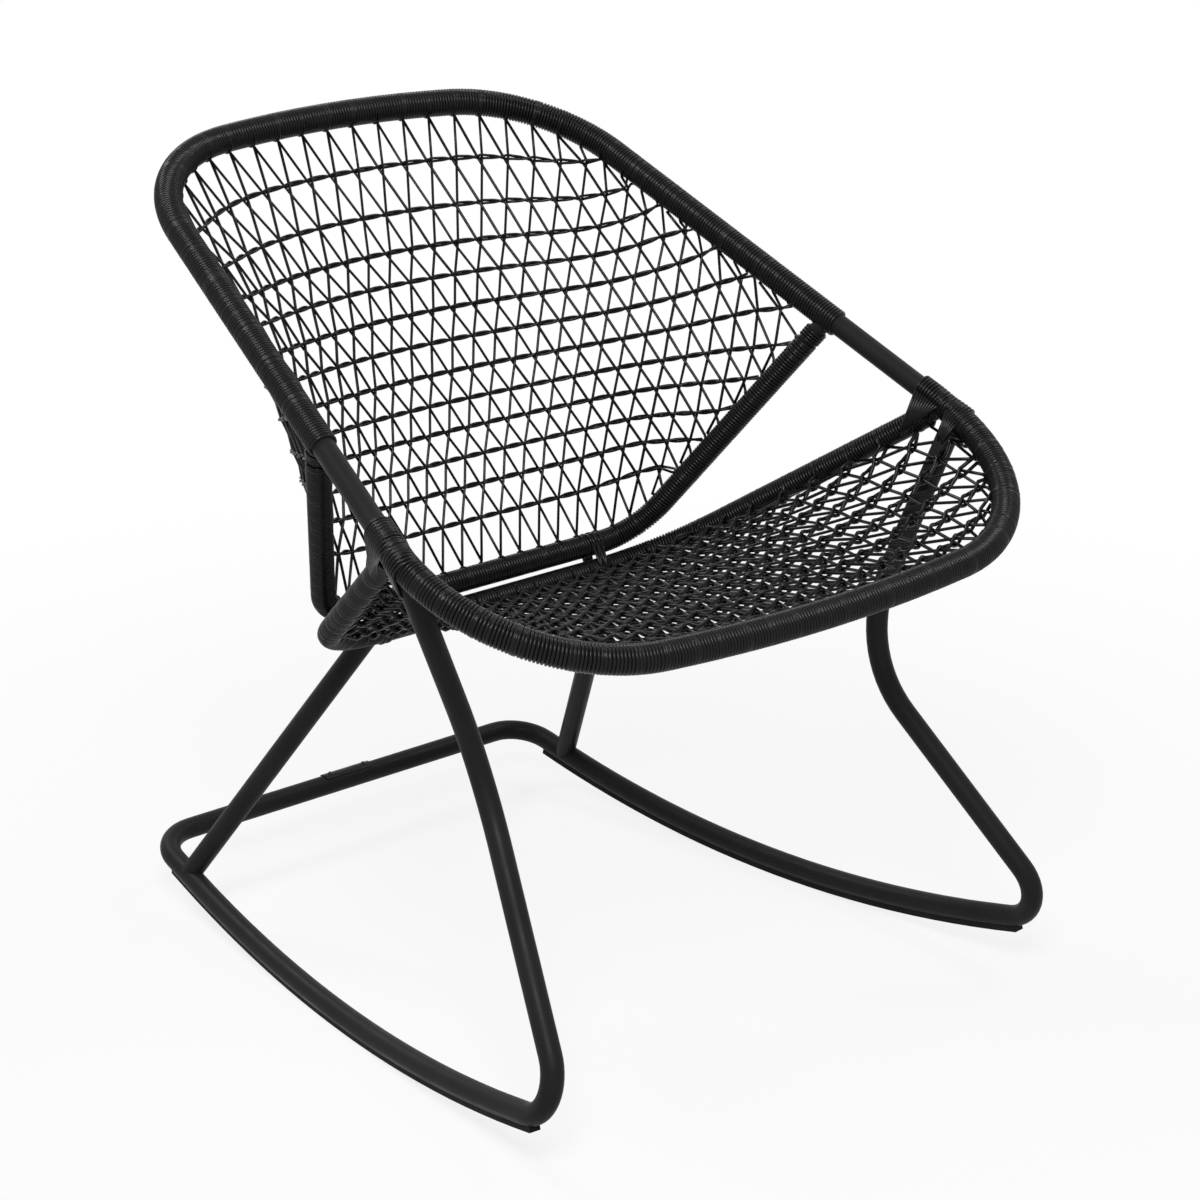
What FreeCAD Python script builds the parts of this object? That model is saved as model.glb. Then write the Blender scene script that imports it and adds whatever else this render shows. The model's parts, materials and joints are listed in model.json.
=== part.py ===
import FreeCAD, Part
import math
import os

# Outdoor rocking chair: bent steel tubes with wound and woven resin strand.
# Millimetres. X runs across the chair, -Y is the front, Z is up. The origin lies on the floor,
# midway between the front of the rim and the back of the crossbar.

V = FreeCAD.Vector

DRIVING = [
    ("tube_diameter", 22.0),
    ("tube_wall", 1.2),
    ("base_tube_wall", 2.0),
    ("web_tube_diameter", 18.0),
    ("web_tube_wall", 1.2),
    ("strand_diameter", 3.0),
    ("winding_fit", 0.15),
    ("web_gap", 0.3),
    ("rim_slope", 24.5),
    ("rim_arm_height", 568.5),
    ("rim_ahead_of_middle", 4.5),
    ("rim_half_width", 338.0),
    ("rim_taper", 8.5),
    ("rim_back_reach", 576.0),
    ("rim_back_arc_radius", 1120.0),
    ("rim_back_corner_radius", 152.0),
    ("rim_front_reach", 237.0),
    ("rim_front_arc_radius", 1880.0),
    ("rim_front_corner_radius", 176.0),
    ("rim_seam_reach", 14.0),
    ("wrap_lead", 2.0),
    ("back_joint_reach", 128.0),
    ("back_bar_half_width", 202.0),
    ("bar_gap", 3.2),
    ("bar_lean", 26.5),
    ("back_bend_radius", 70.0),
    ("seat_joint_reach", 31.0),
    ("seat_bar_half_width", 222.0),
    ("seat_bar_behind_middle", 111.5),
    ("seat_bar_height", 347.5),
    ("seat_bend_radius", 126.0),
    ("leg_joint_reach", 46.0),
    ("knee_half_width", 240.0),
    ("knee_ahead_of_middle", 174.5),
    ("knee_height", 319.5),
    ("knee_bend_radius", 140.0),
    ("rocker_radius", 1453.0),
    ("rocker_contact_behind_middle", 8.5),
    ("rocker_front_reach", 406.0),
    ("rocker_rear_reach", 371.0),
    ("rocker_front_half_spread", 321.5),
    ("rocker_rear_half_spread", 249.0),
    ("front_bend_radius", 40.0),
    ("rear_bend_radius", 45.0),
    ("rocker_end_run", 75.0),
    ("rear_leg_foot_inset", 73.0),
    ("rear_leg_top_half_spread", 158.0),
    ("rear_leg_cope_depth", 6.0),
    ("glide_width", 12.0),
    ("glide_thickness", 4.0),
    ("glide_front_inset", 58.0),
    ("glide_rear_inset", 46.0),
    ("plate_length", 62.0),
    ("plate_width", 14.0),
    ("plate_thickness", 1.2),
    ("rivet_pitch", 45.0),
    ("rivet_head_diameter", 6.0),
    ("rivet_head_height", 1.5),
    ("rivet_shank_diameter", 3.2),
    ("rivet_grip", 5.0),
    ("lashing_loops", 4.0),
    ("lashing_pitch", 3.6),
    ("tie_loops", 2.0),
    ("tie_pitch", 3.8),
    ("tie_leg_gap", 1.5),
    ("mesh_pitch", 34.0),
    ("mesh_row", 38.0),
    ("fold_gap", 0.8),
    ("weft_rows", 12.0),
    ("weft_fold_radius", 6.0),
    ("back_row_tilt", 13.0),
    ("seat_row_tilt", 61.0),
]

doc = FreeCAD.newDocument("rocking_chair")
sheet = doc.addObject("Spreadsheet::Sheet", "Sizes")
for row, (alias, value) in enumerate(DRIVING, start=1):
    sheet.set("A%d" % row, alias)
    sheet.set("B%d" % row, repr(value))
    sheet.setAlias("B%d" % row, alias)
doc.recompute()


def size(alias):
    """One driving dimension, read from the sheet."""
    return float(getattr(sheet, alias))


TUBE_RADIUS = size("tube_diameter") / 2
WEB_TUBE_RADIUS = size("web_tube_diameter") / 2
STRAND_RADIUS = size("strand_diameter") / 2
FIT = size("winding_fit")
GAP = size("web_gap")
RIM_WOUND_RADIUS = TUBE_RADIUS + FIT + size("strand_diameter")
WEB_WOUND_RADIUS = WEB_TUBE_RADIUS + FIT + size("strand_diameter")
ENVELOPES = {}


# Paths


def mirrored(point):
    """The same point on the other side of the chair."""
    return V(-point.x, point.y, point.z)


def arc_edge(start, middle, end):
    """A circular edge through three points."""
    return Part.Arc(start, middle, end).toShape()


def line_edge(start, end):
    """A straight edge."""
    return Part.LineSegment(start, end).toShape()


def bend(before, corner, after, radius):
    """The start, middle and end of the arc that rounds a corner."""
    to_before = (before - corner).normalize()
    to_after = (after - corner).normalize()
    half = math.acos(max(-1.0, min(1.0, to_before.dot(to_after)))) / 2
    run = radius / math.tan(half)
    bisector = (to_before + to_after).normalize()
    centre = corner + bisector * (radius / math.sin(half))
    return corner + to_before * run, centre - bisector * radius, corner + to_after * run


def bent_edges(points, radii):
    """Straight runs through the points, with each inner corner rounded."""
    edges = []
    here = points[0]
    for index, radius in enumerate(radii, start=1):
        start, middle, end = bend(points[index - 1], points[index], points[index + 1], radius)
        edges.append(line_edge(here, start))
        edges.append(arc_edge(start, middle, end))
        here = end
    edges.append(line_edge(here, points[-1]))
    return edges


SLOPE = math.radians(size("rim_slope"))
TAPER = math.tan(math.radians(size("rim_taper")))
RIM_HALF = (size("rim_back_reach") - size("rim_front_reach")) / 2 * math.cos(SLOPE)
RIM_MIDDLE = -RIM_HALF - size("rim_ahead_of_middle")


def rim_point(across, reach):
    """A point of the rim's plane: reach runs up the slope from the front end of the bare arm."""
    along = RIM_MIDDLE + reach * math.cos(SLOPE)
    return V(across, along, size("rim_arm_height") + reach * math.sin(SLOPE))


def rim_side(reach):
    """A point on the axis of the rim's straight side."""
    return rim_point(size("rim_half_width") - TAPER * reach, reach)


def rim_end(reach, arc_radius, corner_radius, upward):
    """The half outline of one end of the rim, as arc points from the side to the middle."""
    sense = 1.0 if upward else -1.0
    norm = math.hypot(1.0, TAPER)
    along = (-TAPER / norm, 1.0 / norm)
    inward = (-1.0 / norm, -TAPER / norm)
    hub = (0.0, sense * (reach - arc_radius))
    base = (size("rim_half_width") + inward[0] * corner_radius - hub[0], inward[1] * corner_radius - hub[1])
    slide = base[0] * along[0] + base[1] * along[1]
    rest = base[0] ** 2 + base[1] ** 2 - (arc_radius - corner_radius) ** 2
    step = -slide + sense * math.sqrt(slide**2 - rest)
    corner = (hub[0] + base[0] + along[0] * step, hub[1] + base[1] + along[1] * step)
    side_angle = math.atan2(-inward[0], -sense * inward[1])
    meet_angle = math.atan2(corner[0] - hub[0], sense * (corner[1] - hub[1]))

    def on_arc(centre, radius, angle):
        return rim_point(centre[0] + radius * math.sin(angle), centre[1] + sense * radius * math.cos(angle))

    def turned(share):
        return on_arc(corner, corner_radius, side_angle + (meet_angle - side_angle) * share)

    return {
        "side": turned(0.0),
        "third": turned(1 / 3),
        "corner": turned(1 / 2),
        "two_thirds": turned(2 / 3),
        "meet": turned(1.0),
        "middle": on_arc(hub, arc_radius, 0.0),
    }


RIM_BACK = rim_end(
    size("rim_back_reach"), size("rim_back_arc_radius"), size("rim_back_corner_radius"), True
)
RIM_FRONT = rim_end(
    size("rim_front_reach"), size("rim_front_arc_radius"), size("rim_front_corner_radius"), False
)


def rim_edges(reach, end):
    """The rim from one side at a reach, round one end, to the other side at the same reach."""
    start = rim_side(reach)
    return [
        line_edge(start, end["side"]),
        arc_edge(end["side"], end["corner"], end["meet"]),
        arc_edge(end["meet"], end["middle"], mirrored(end["meet"])),
        arc_edge(mirrored(end["meet"]), mirrored(end["corner"]), mirrored(end["side"])),
        line_edge(mirrored(end["side"]), mirrored(start)),
    ]


def frame_edges(top, corner, radius, start=0.0):
    """A U frame that hangs from both sides of the rim, from a distance below the rim's axis."""
    begin = top + (corner - top).normalize() * start
    points = [begin, corner, mirrored(corner), mirrored(begin)]
    return bent_edges(points, [radius, radius])


SEAT_TOP = rim_side(-size("seat_joint_reach"))
SEAT_CORNER = V(size("seat_bar_half_width"), size("seat_bar_behind_middle"), size("seat_bar_height"))
BAR_STEP = 2 * WEB_WOUND_RADIUS + size("bar_gap")
BAR_LEAN = math.radians(size("bar_lean"))
BACK_TOP = rim_side(size("back_joint_reach"))
BACK_CORNER = V(
    size("back_bar_half_width"),
    SEAT_CORNER.y + BAR_STEP * math.sin(BAR_LEAN),
    SEAT_CORNER.z + BAR_STEP * math.cos(BAR_LEAN),
)
BACK_U = (BACK_TOP, BACK_CORNER, size("back_bend_radius"))
SEAT_U = (SEAT_TOP, SEAT_CORNER, size("seat_bend_radius"))


def bar_point(frame, across):
    """A point on a frame's axis near its bar, which curves up into the legs at its ends."""
    top, corner, radius = frame
    past = max(0.0, abs(across) - bend(top, corner, mirrored(corner), radius)[2].x)
    rise = V(0, top.y - corner.y, top.z - corner.z).normalize()
    return V(across, corner.y, corner.z) + rise * (radius - math.sqrt(radius**2 - past**2))


ROCKER_AXIS_LOW = TUBE_RADIUS + size("glide_thickness")
ROCKER_LENGTH = size("rocker_front_reach") + size("rocker_rear_reach")
ROCKER_SPREAD = size("rocker_front_half_spread") - size("rocker_rear_half_spread")


def rocker_point(reach, drop=0.0):
    """A point on the right rocker's arc, or below it, at a reach behind the floor contact."""
    lift = size("rocker_radius") - math.sqrt(size("rocker_radius") ** 2 - reach**2)
    share = (reach + size("rocker_front_reach")) / ROCKER_LENGTH
    across = size("rocker_front_half_spread") - ROCKER_SPREAD * share
    slope = reach / math.sqrt(size("rocker_radius") ** 2 - reach**2)
    steep = math.hypot(1.0, slope)
    along = size("rocker_contact_behind_middle") + reach
    return V(across, along + drop * slope / steep, ROCKER_AXIS_LOW + lift - drop / steep)


def rocker_tangent(reach):
    """The direction of the rocker at a reach, towards the rear."""
    slope = reach / math.sqrt(size("rocker_radius") ** 2 - reach**2)
    return V(-ROCKER_SPREAD / ROCKER_LENGTH, 1.0, slope).normalize()


ARC_FRONT = size("rocker_end_run") - size("rocker_front_reach")
ARC_REAR = size("rocker_rear_reach") - size("rocker_end_run")
FOOT_FRONT = rocker_point(ARC_FRONT) - rocker_tangent(ARC_FRONT) * size("rocker_end_run")
FOOT_REAR = rocker_point(ARC_REAR) + rocker_tangent(ARC_REAR) * size("rocker_end_run")
LEG_TOP = rim_side(-size("leg_joint_reach"))
KNEE = V(size("knee_half_width"), -size("knee_ahead_of_middle"), size("knee_height"))


def base_edges():
    """The right half of the base: leg, knee, front bend, rocker, rear bend and half the crossbar."""
    knee = bend(LEG_TOP, KNEE, FOOT_FRONT, size("knee_bend_radius"))
    front = bend(KNEE, FOOT_FRONT, rocker_point(ARC_FRONT), size("front_bend_radius"))
    cross_middle = V(0, FOOT_REAR.y, FOOT_REAR.z)
    rear = bend(rocker_point(ARC_REAR), FOOT_REAR, cross_middle, size("rear_bend_radius"))
    return [
        line_edge(LEG_TOP, knee[0]),
        arc_edge(*knee),
        line_edge(knee[2], front[0]),
        arc_edge(*front),
        line_edge(front[2], rocker_point(ARC_FRONT)),
        arc_edge(rocker_point(ARC_FRONT), rocker_point((ARC_FRONT + ARC_REAR) / 2), rocker_point(ARC_REAR)),
        line_edge(rocker_point(ARC_REAR), rear[0]),
        arc_edge(*rear),
        line_edge(rear[2], cross_middle),
    ]


def flipped(edges):
    """The same edges on the left of the chair."""
    return [edge.mirror(V(0, 0, 0), V(1, 0, 0)) for edge in edges]


# Document objects


def path_object(name, edges):
    """A wire that a section follows."""
    path = doc.addObject("Part::Feature", name + "_path")
    path.Shape = Part.Wire(edges)
    return path


def sweep_object(name, path, radius_expression):
    """A round section, with its radius from the sheet, swept along a path."""
    first = path.Shape.Edges[0]
    start = first.valueAt(first.FirstParameter)
    heading = first.tangentAt(first.FirstParameter)
    vertex = path.Shape.OrderedVertexes[0].Point
    if (start - vertex).Length > 1e-6:
        start = first.valueAt(first.LastParameter)
        heading = first.tangentAt(first.LastParameter)
    circle = doc.addObject("Part::Circle", name + "_section")
    circle.setExpression("Radius", radius_expression)
    circle.Placement = FreeCAD.Placement(start, FreeCAD.Rotation(V(0, 0, 1), heading))
    sweep = doc.addObject("Part::Sweep", name + "_sweep")
    sweep.Sections = [circle]
    sweep.Spine = (path, ["Edge%d" % (n + 1) for n in range(len(path.Shape.Edges))])
    sweep.Solid = True
    sweep.Frenet = False
    doc.recompute()
    return sweep


def cylinder_object(name, start, end, radius_expression):
    """A straight cylinder between two points."""
    cylinder = doc.addObject("Part::Cylinder", name)
    cylinder.setExpression("Radius", radius_expression)
    cylinder.Height = (end - start).Length
    cylinder.Placement = FreeCAD.Placement(start, FreeCAD.Rotation(V(0, 0, 1), end - start))
    return cylinder


def cut_object(name, base, tools):
    """A solid less each of the tools in turn."""
    for number, tool in enumerate(tools, start=1):
        cut = doc.addObject("Part::Cut", "%s_cut_%d" % (name, number))
        cut.Base = base
        cut.Tool = tool
        base = cut
    doc.recompute()
    return base


NODES = []


def as_node(obj, label):
    """Gives a finished document object its node name."""
    obj.Label = label
    NODES.append(obj)
    return obj


def tube_object(name, edges, outer, wall, tools=()):
    """A hollow tube along a path, coped against the tools."""
    path = path_object(name, edges)
    skin = sweep_object(name + "_skin", path, outer)
    bore = sweep_object(name + "_bore", path, "%s - %s" % (outer, wall))
    ENVELOPES[name] = skin
    return cut_object(name, skin, [bore] + list(tools))


def sleeve_object(name, edges, tube_radius, tools=()):
    """The outer shape of a close winding round a tube."""
    path = path_object(name, edges)
    inside = "%s + Sizes.winding_fit" % tube_radius
    skin = sweep_object(name + "_skin", path, inside + " + Sizes.strand_diameter")
    bore = sweep_object(name + "_bore", path, inside)
    return cut_object(name, skin, [bore] + list(tools))


FRAME_RADIUS = "Sizes.tube_diameter / 2"
WEB_RADIUS = "Sizes.web_tube_diameter / 2"

# Rim, in two bent tubes that meet under the front winding

RIM_SEAM = -size("rim_seam_reach")
rim_back = tube_object("rim_back", rim_edges(RIM_SEAM, RIM_BACK), FRAME_RADIUS, "Sizes.tube_wall")
rim_front = tube_object("rim_front", rim_edges(RIM_SEAM, RIM_FRONT), FRAME_RADIUS, "Sizes.tube_wall")
as_node(rim_back, "rim_back_tube")
as_node(rim_front, "rim_front_tube")
RIM_SKINS = [ENVELOPES["rim_back"], ENVELOPES["rim_front"]]

# Base, in two bent tubes that meet at the middle of the crossbar, with a rivet hole in each

CROSS_MIDDLE = V(0, FOOT_REAR.y, FOOT_REAR.z)
PLATE_TOP = TUBE_RADIUS + FIT + size("plate_thickness")
RIVET_HOLE = "Sizes.rivet_shank_diameter / 2 + Sizes.winding_fit"
RIVET_HOLES = {}
for side, sign in (("right", 1), ("left", -1)):
    seat = CROSS_MIDDLE + V(sign * size("rivet_pitch") / 2, 0, 0)
    above = seat + V(0, 0, PLATE_TOP + size("rivet_head_height"))
    RIVET_HOLES[side] = cylinder_object("rivet_hole_" + side, seat, above, RIVET_HOLE)

base_right = tube_object(
    "base_right",
    base_edges(),
    FRAME_RADIUS,
    "Sizes.base_tube_wall",
    RIM_SKINS + [RIVET_HOLES["right"]],
)
base_left = tube_object(
    "base_left",
    flipped(base_edges()),
    FRAME_RADIUS,
    "Sizes.base_tube_wall",
    RIM_SKINS + [RIVET_HOLES["left"]],
)
as_node(base_right, "base_tube_right")
as_node(base_left, "base_tube_left")
BASE_SKINS = [ENVELOPES["base_right"], ENVELOPES["base_left"]]

# Joining plate, a shallow saddle on top of the crossbar, and its two rivets


def saddle_object(name, radius_expression):
    """A sector of a cylinder round the crossbar's axis, as wide as the plate and facing up."""
    half = size("plate_width") / 2 / TUBE_RADIUS
    first = V(0, math.sin(half), math.cos(half))
    second = V(1, 0, 0).cross(first)
    sector = doc.addObject("Part::Cylinder", name)
    sector.setExpression("Radius", radius_expression)
    sector.setExpression("Height", "Sizes.plate_length")
    sector.setExpression("Angle", "Sizes.plate_width / Sizes.tube_diameter * 360 / pi")
    start = CROSS_MIDDLE - V(size("plate_length") / 2, 0, 0)
    sector.Placement = FreeCAD.Placement(start, FreeCAD.Rotation(first, second, V(1, 0, 0), "ZXY"))
    return sector


plate_inside = FRAME_RADIUS + " + Sizes.winding_fit"
plate_outer = saddle_object("plate_outer", plate_inside + " + Sizes.plate_thickness")
plate_inner = cylinder_object(
    "plate_inner",
    CROSS_MIDDLE - V(size("plate_length"), 0, 0),
    CROSS_MIDDLE + V(size("plate_length"), 0, 0),
    plate_inside,
)
plate = cut_object("plate", plate_outer, [plate_inner, RIVET_HOLES["right"], RIVET_HOLES["left"]])
as_node(plate, "crossbar_plate")

for side, sign in (("right", 1), ("left", -1)):
    seat = CROSS_MIDDLE + V(sign * size("rivet_pitch") / 2, 0, PLATE_TOP + FIT)
    shank = cylinder_object(
        "rivet_shank_" + side, seat - V(0, 0, size("rivet_grip")), seat, "Sizes.rivet_shank_diameter / 2"
    )
    head = doc.addObject("Part::Cone", "rivet_head_" + side)
    head.setExpression("Radius1", "Sizes.rivet_head_diameter / 2")
    head.setExpression("Radius2", "Sizes.rivet_shank_diameter / 2")
    head.setExpression("Height", "Sizes.rivet_head_height")
    head.Placement = FreeCAD.Placement(seat, FreeCAD.Rotation())
    rivet = doc.addObject("Part::Fuse", "rivet_" + side)
    rivet.Base = shank
    rivet.Tool = head
    as_node(rivet, "plate_rivet_" + side)

# U frames of the back and the seat

back_frame = tube_object(
    "back_frame",
    frame_edges(BACK_TOP, BACK_CORNER, size("back_bend_radius")),
    WEB_RADIUS,
    "Sizes.web_tube_wall",
    RIM_SKINS,
)
seat_frame = tube_object(
    "seat_frame",
    frame_edges(SEAT_TOP, SEAT_CORNER, size("seat_bend_radius")),
    WEB_RADIUS,
    "Sizes.web_tube_wall",
    RIM_SKINS + BASE_SKINS,
)
as_node(back_frame, "back_frame_tube")
as_node(seat_frame, "seat_frame_tube")

# Rear legs, straight tubes from the rockers to the seat frame's rear bar

REAR_FOOT = FOOT_REAR - rocker_tangent(ARC_REAR) * size("rear_leg_foot_inset")
REAR_TOP = bar_point(SEAT_U, size("rear_leg_top_half_spread"))
REAR_END = REAR_TOP + (REAR_FOOT - REAR_TOP).normalize() * (WEB_TUBE_RADIUS - size("rear_leg_cope_depth"))
REAR_NEAR = bar_point(SEAT_U, size("rear_leg_top_half_spread") - TUBE_RADIUS)
REAR_FAR = bar_point(SEAT_U, size("rear_leg_top_half_spread") + TUBE_RADIUS)
BAR_RUN = (REAR_FAR - REAR_NEAR).normalize() * size("tube_diameter")
for side, sign in (("right", 1), ("left", -1)):
    name = "rear_leg_" + side
    ends = [REAR_FOOT, REAR_END, REAR_TOP - BAR_RUN, REAR_TOP + BAR_RUN]
    if sign < 0:
        ends = [mirrored(end) for end in ends]
    foot, top, bar_near, bar_far = ends
    skin = cylinder_object(name + "_skin", foot, top, FRAME_RADIUS)
    bore = cylinder_object(name + "_bore", foot, top, FRAME_RADIUS + " - Sizes.tube_wall")
    bar = cylinder_object(name + "_bar", bar_near, bar_far, WEB_RADIUS)
    ENVELOPES[name] = skin
    leg = cut_object(name, skin, [bore, ENVELOPES["base_" + side], bar])
    as_node(leg, name)

# Glide strips under the rockers

GLIDE_FRONT = size("glide_front_inset") - size("rocker_front_reach")
GLIDE_REAR = size("rocker_rear_reach") - size("glide_rear_inset")


def glide_face(reach):
    """The strip's section, from the rocker's axis to the floor side, square to the rocker."""
    side = rocker_tangent(reach).cross(V(0, 0, 1)).normalize() * (size("glide_width") / 2)
    upper = rocker_point(reach)
    lower = rocker_point(reach, TUBE_RADIUS + size("glide_thickness"))
    return Part.makePolygon([upper + side, upper - side, lower - side, lower + side, upper + side])


for side, sign in (("right", 1), ("left", -1)):
    name = "glide_" + side
    middle = (GLIDE_FRONT + GLIDE_REAR) / 2
    edges = [arc_edge(rocker_point(GLIDE_FRONT), rocker_point(middle), rocker_point(GLIDE_REAR))]
    section = doc.addObject("Part::Feature", name + "_section")
    section.Shape = glide_face(GLIDE_FRONT)
    if sign < 0:
        edges = flipped(edges)
        section.Shape = glide_face(GLIDE_FRONT).mirror(V(0, 0, 0), V(1, 0, 0))
    path = path_object(name, edges)
    strip = doc.addObject("Part::Sweep", name + "_blank")
    strip.Sections = [section]
    strip.Spine = (path, ["Edge1"])
    strip.Solid = True
    strip.Frenet = True
    doc.recompute()
    as_node(cut_object(name, strip, [ENVELOPES["base_" + side]]), name + "_strip")

# Lashings: a few loops of strand round each frame's top end, below the rim

RIM_AXIS = (rim_side(1.0) - rim_side(0.0)).normalize()
LOOP_RADIUS = WEB_TUBE_RADIUS + FIT + STRAND_RADIUS
LEG_AXIS = (KNEE - LEG_TOP).normalize()


def line_distance(point, origin, heading):
    """How far a point lies from a line."""
    return (point - origin).cross(heading).Length


def clear_start(top, heading, obstacles):
    """The first distance along a frame's leg at which a wound loop clears each straight tube."""
    start = 0.0
    step = STRAND_RADIUS / 4
    while True:
        centre = top + heading * start
        room = True
        for origin, axis, radius in obstacles:
            lean = abs(heading.dot(axis))
            need = radius + GAP + WEB_WOUND_RADIUS * lean
            room = room and line_distance(centre, origin, axis) >= need
        if room:
            return start + STRAND_RADIUS
        start += step


def biarc_edges(points, tangents):
    """Two tangent arcs from each point to the next."""
    edges = []
    for start, end, leave, arrive in zip(points, points[1:], tangents, tangents[1:]):
        span = end - start
        turn = leave + arrive
        bulge = 2 * (1 - leave.dot(arrive))
        dot = span.dot(turn)
        reach = (math.sqrt(dot**2 + bulge * span.dot(span)) - dot) / bulge
        first = start + leave * reach
        last = end - arrive * reach
        joint = (first + last) / 2
        edges.append(arc_edge(start, arc_middle(start, first, joint), joint))
        edges.append(arc_edge(joint, arc_middle(joint, last, end), end))
    return edges


def arc_middle(start, corner, end):
    """The middle of the arc that leaves and arrives along the lines to a corner."""
    chord = (start + end) / 2
    rise = corner - chord
    half = (end - start).Length / 2
    angle = math.atan2(rise.Length, half)
    return chord + rise.normalize() * (half * math.tan(angle / 2))


def helix_edges(origin, axis, radius, pitch, loops):
    """Turns round an axis, as biarcs of a quarter turn."""
    across = axis.cross(V(0, 0, 1)).normalize()
    other = axis.cross(across)
    points = []
    tangents = []
    for quarter in range(int(round(loops * 4)) + 1):
        angle = quarter * math.pi / 2
        radial = across * math.cos(angle) + other * math.sin(angle)
        around = other * math.cos(angle) - across * math.sin(angle)
        points.append(origin + radial * radius + axis * (pitch * quarter / 4))
        tangents.append((around * radius + axis * (pitch / (2 * math.pi))).normalize())
    return biarc_edges(points, tangents)


def least_gap(edges, diameter):
    """The least gap of a wound tube to itself, on points along its path."""
    points = []
    travel = []
    gone = 0.0
    for edge in edges:
        samples = edge.discretize(Number=9)
        for index, point in enumerate(samples[:-1]):
            points.append(point)
            travel.append(gone + edge.Length * index / 8)
        gone += edge.Length
    least = gone
    for i, here in enumerate(points):
        for j in range(i + 1, len(points)):
            if travel[j] - travel[i] > 4 * diameter:
                least = min(least, (here - points[j]).Length)
    return least - diameter


def wound_object(name, edges):
    """One unbroken wound strand."""
    print("%s least gap to itself %.2f" % (name, least_gap(edges, size("strand_diameter"))))
    return sweep_object(name, path_object(name, edges), "Sizes.strand_diameter / 2")


def place_lashing(frame, top, corner, obstacles):
    """Lashings on both legs of a frame; returns where the frame's close winding starts."""
    heading = (corner - top).normalize()
    start = clear_start(top, heading, obstacles)
    for side, sign in (("right", 1), ("left", -1)):
        origin = top + heading * start
        axis = heading
        if sign < 0:
            origin = mirrored(origin)
            axis = mirrored(axis)
        edges = helix_edges(origin, axis, LOOP_RADIUS, size("lashing_pitch"), size("lashing_loops"))
        name = "%s_lashing_%s" % (frame, side)
        as_node(wound_object(name + "_strand", edges), name)
    return start + size("lashing_pitch") * size("lashing_loops") + STRAND_RADIUS + GAP


RIM_OBSTACLE = (rim_side(0.0), RIM_AXIS, RIM_WOUND_RADIUS)
LEG_OBSTACLE = (LEG_TOP, LEG_AXIS, TUBE_RADIUS)
BACK_WINDING_START = place_lashing("back", BACK_TOP, BACK_CORNER, [RIM_OBSTACLE])
SEAT_WINDING_START = place_lashing("seat", SEAT_TOP, SEAT_CORNER, [RIM_OBSTACLE, LEG_OBSTACLE])

# Close windings, as sleeves that the joining tubes pass through


def room_objects(name, start, end, radius):
    """Cylinders on both sides of the chair that leave a tube room to pass."""
    expression = radius + " + Sizes.winding_fit"
    right = cylinder_object(name + "_room_right", start, end, expression)
    left = cylinder_object(name + "_room_left", mirrored(start), mirrored(end), expression)
    return [right, left]


BACK_ROOM = room_objects("back_frame", BACK_TOP, BACK_CORNER, WEB_RADIUS)
SEAT_ROOM = room_objects("seat_frame", SEAT_TOP, SEAT_CORNER, WEB_RADIUS)
LEG_ROOM = room_objects("front_leg", LEG_TOP, KNEE, FRAME_RADIUS)
REAR_ROOM = room_objects("rear_leg", REAR_FOOT, REAR_TOP, FRAME_RADIUS)

BACK_LEAN = (BACK_CORNER - BACK_TOP).normalize().dot(RIM_AXIS)
BACK_ROOM_HALF = (WEB_TUBE_RADIUS + FIT + RIM_WOUND_RADIUS * abs(BACK_LEAN)) / math.sqrt(1 - BACK_LEAN**2)
BACK_WRAP_START = size("back_joint_reach") - BACK_ROOM_HALF - size("wrap_lead")
as_node(
    sleeve_object("rim_back_wrap", rim_edges(BACK_WRAP_START, RIM_BACK), FRAME_RADIUS, BACK_ROOM),
    "rim_back_winding",
)
as_node(
    sleeve_object("rim_front_wrap", rim_edges(0.0, RIM_FRONT), FRAME_RADIUS, SEAT_ROOM + LEG_ROOM),
    "rim_front_winding",
)
as_node(
    sleeve_object(
        "back_frame_wrap",
        frame_edges(BACK_TOP, BACK_CORNER, size("back_bend_radius"), BACK_WINDING_START),
        WEB_RADIUS,
    ),
    "back_frame_winding",
)
as_node(
    sleeve_object(
        "seat_frame_wrap",
        frame_edges(SEAT_TOP, SEAT_CORNER, size("seat_bend_radius"), SEAT_WINDING_START),
        WEB_RADIUS,
        REAR_ROOM,
    ),
    "seat_frame_winding",
)

# Ties: loops of strand that hold the back frame's bar to the seat frame's bar


def tie_edges(across):
    """Turns round both bars, as half turns and straight runs that climb along X."""
    between = bar_point(BACK_U, across) - bar_point(SEAT_U, across)
    straight = between.Length
    up = between.normalize()
    out = up.cross(V(1, 0, 0))
    radius = WEB_WOUND_RADIUS + GAP + STRAND_RADIUS
    pitch = size("tie_pitch")
    loops = int(round(size("tie_loops")))
    begin = across - pitch * loops / 2
    share = math.pi * radius / (2 * math.pi * radius + 2 * straight)
    slant = V(pitch / (2 * math.pi * radius + 2 * straight), 0, 0)
    turns = []
    for loop in range(loops):
        for frame, sense, first in ((BACK_U, 1, 0.0), (SEAT_U, -1, 0.5)):
            points = []
            for quarter in range(3):
                angle = quarter * math.pi / 2
                radial = out * (sense * math.cos(angle)) + up * (sense * math.sin(angle))
                x = begin + pitch * (loop + first + share * quarter / 2)
                points.append(bar_point(frame, x) + radial * radius)
            tangents = [up * sense + slant, out * -sense + slant, up * -sense + slant]
            turns.append((points, [tangent.normalize() for tangent in tangents]))
    for (points, tangents), (later, arrivals) in zip(turns, turns[1:]):
        run = (later[0] - points[2]).normalize()
        tangents[2] = run
        arrivals[0] = run
    edges = biarc_edges(*turns[0])
    for points, tangents in turns[1:]:
        edges.append(line_edge(edges[-1].lastVertex(True).Point, points[0]))
        edges.extend(biarc_edges(points, tangents))
    return edges


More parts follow.
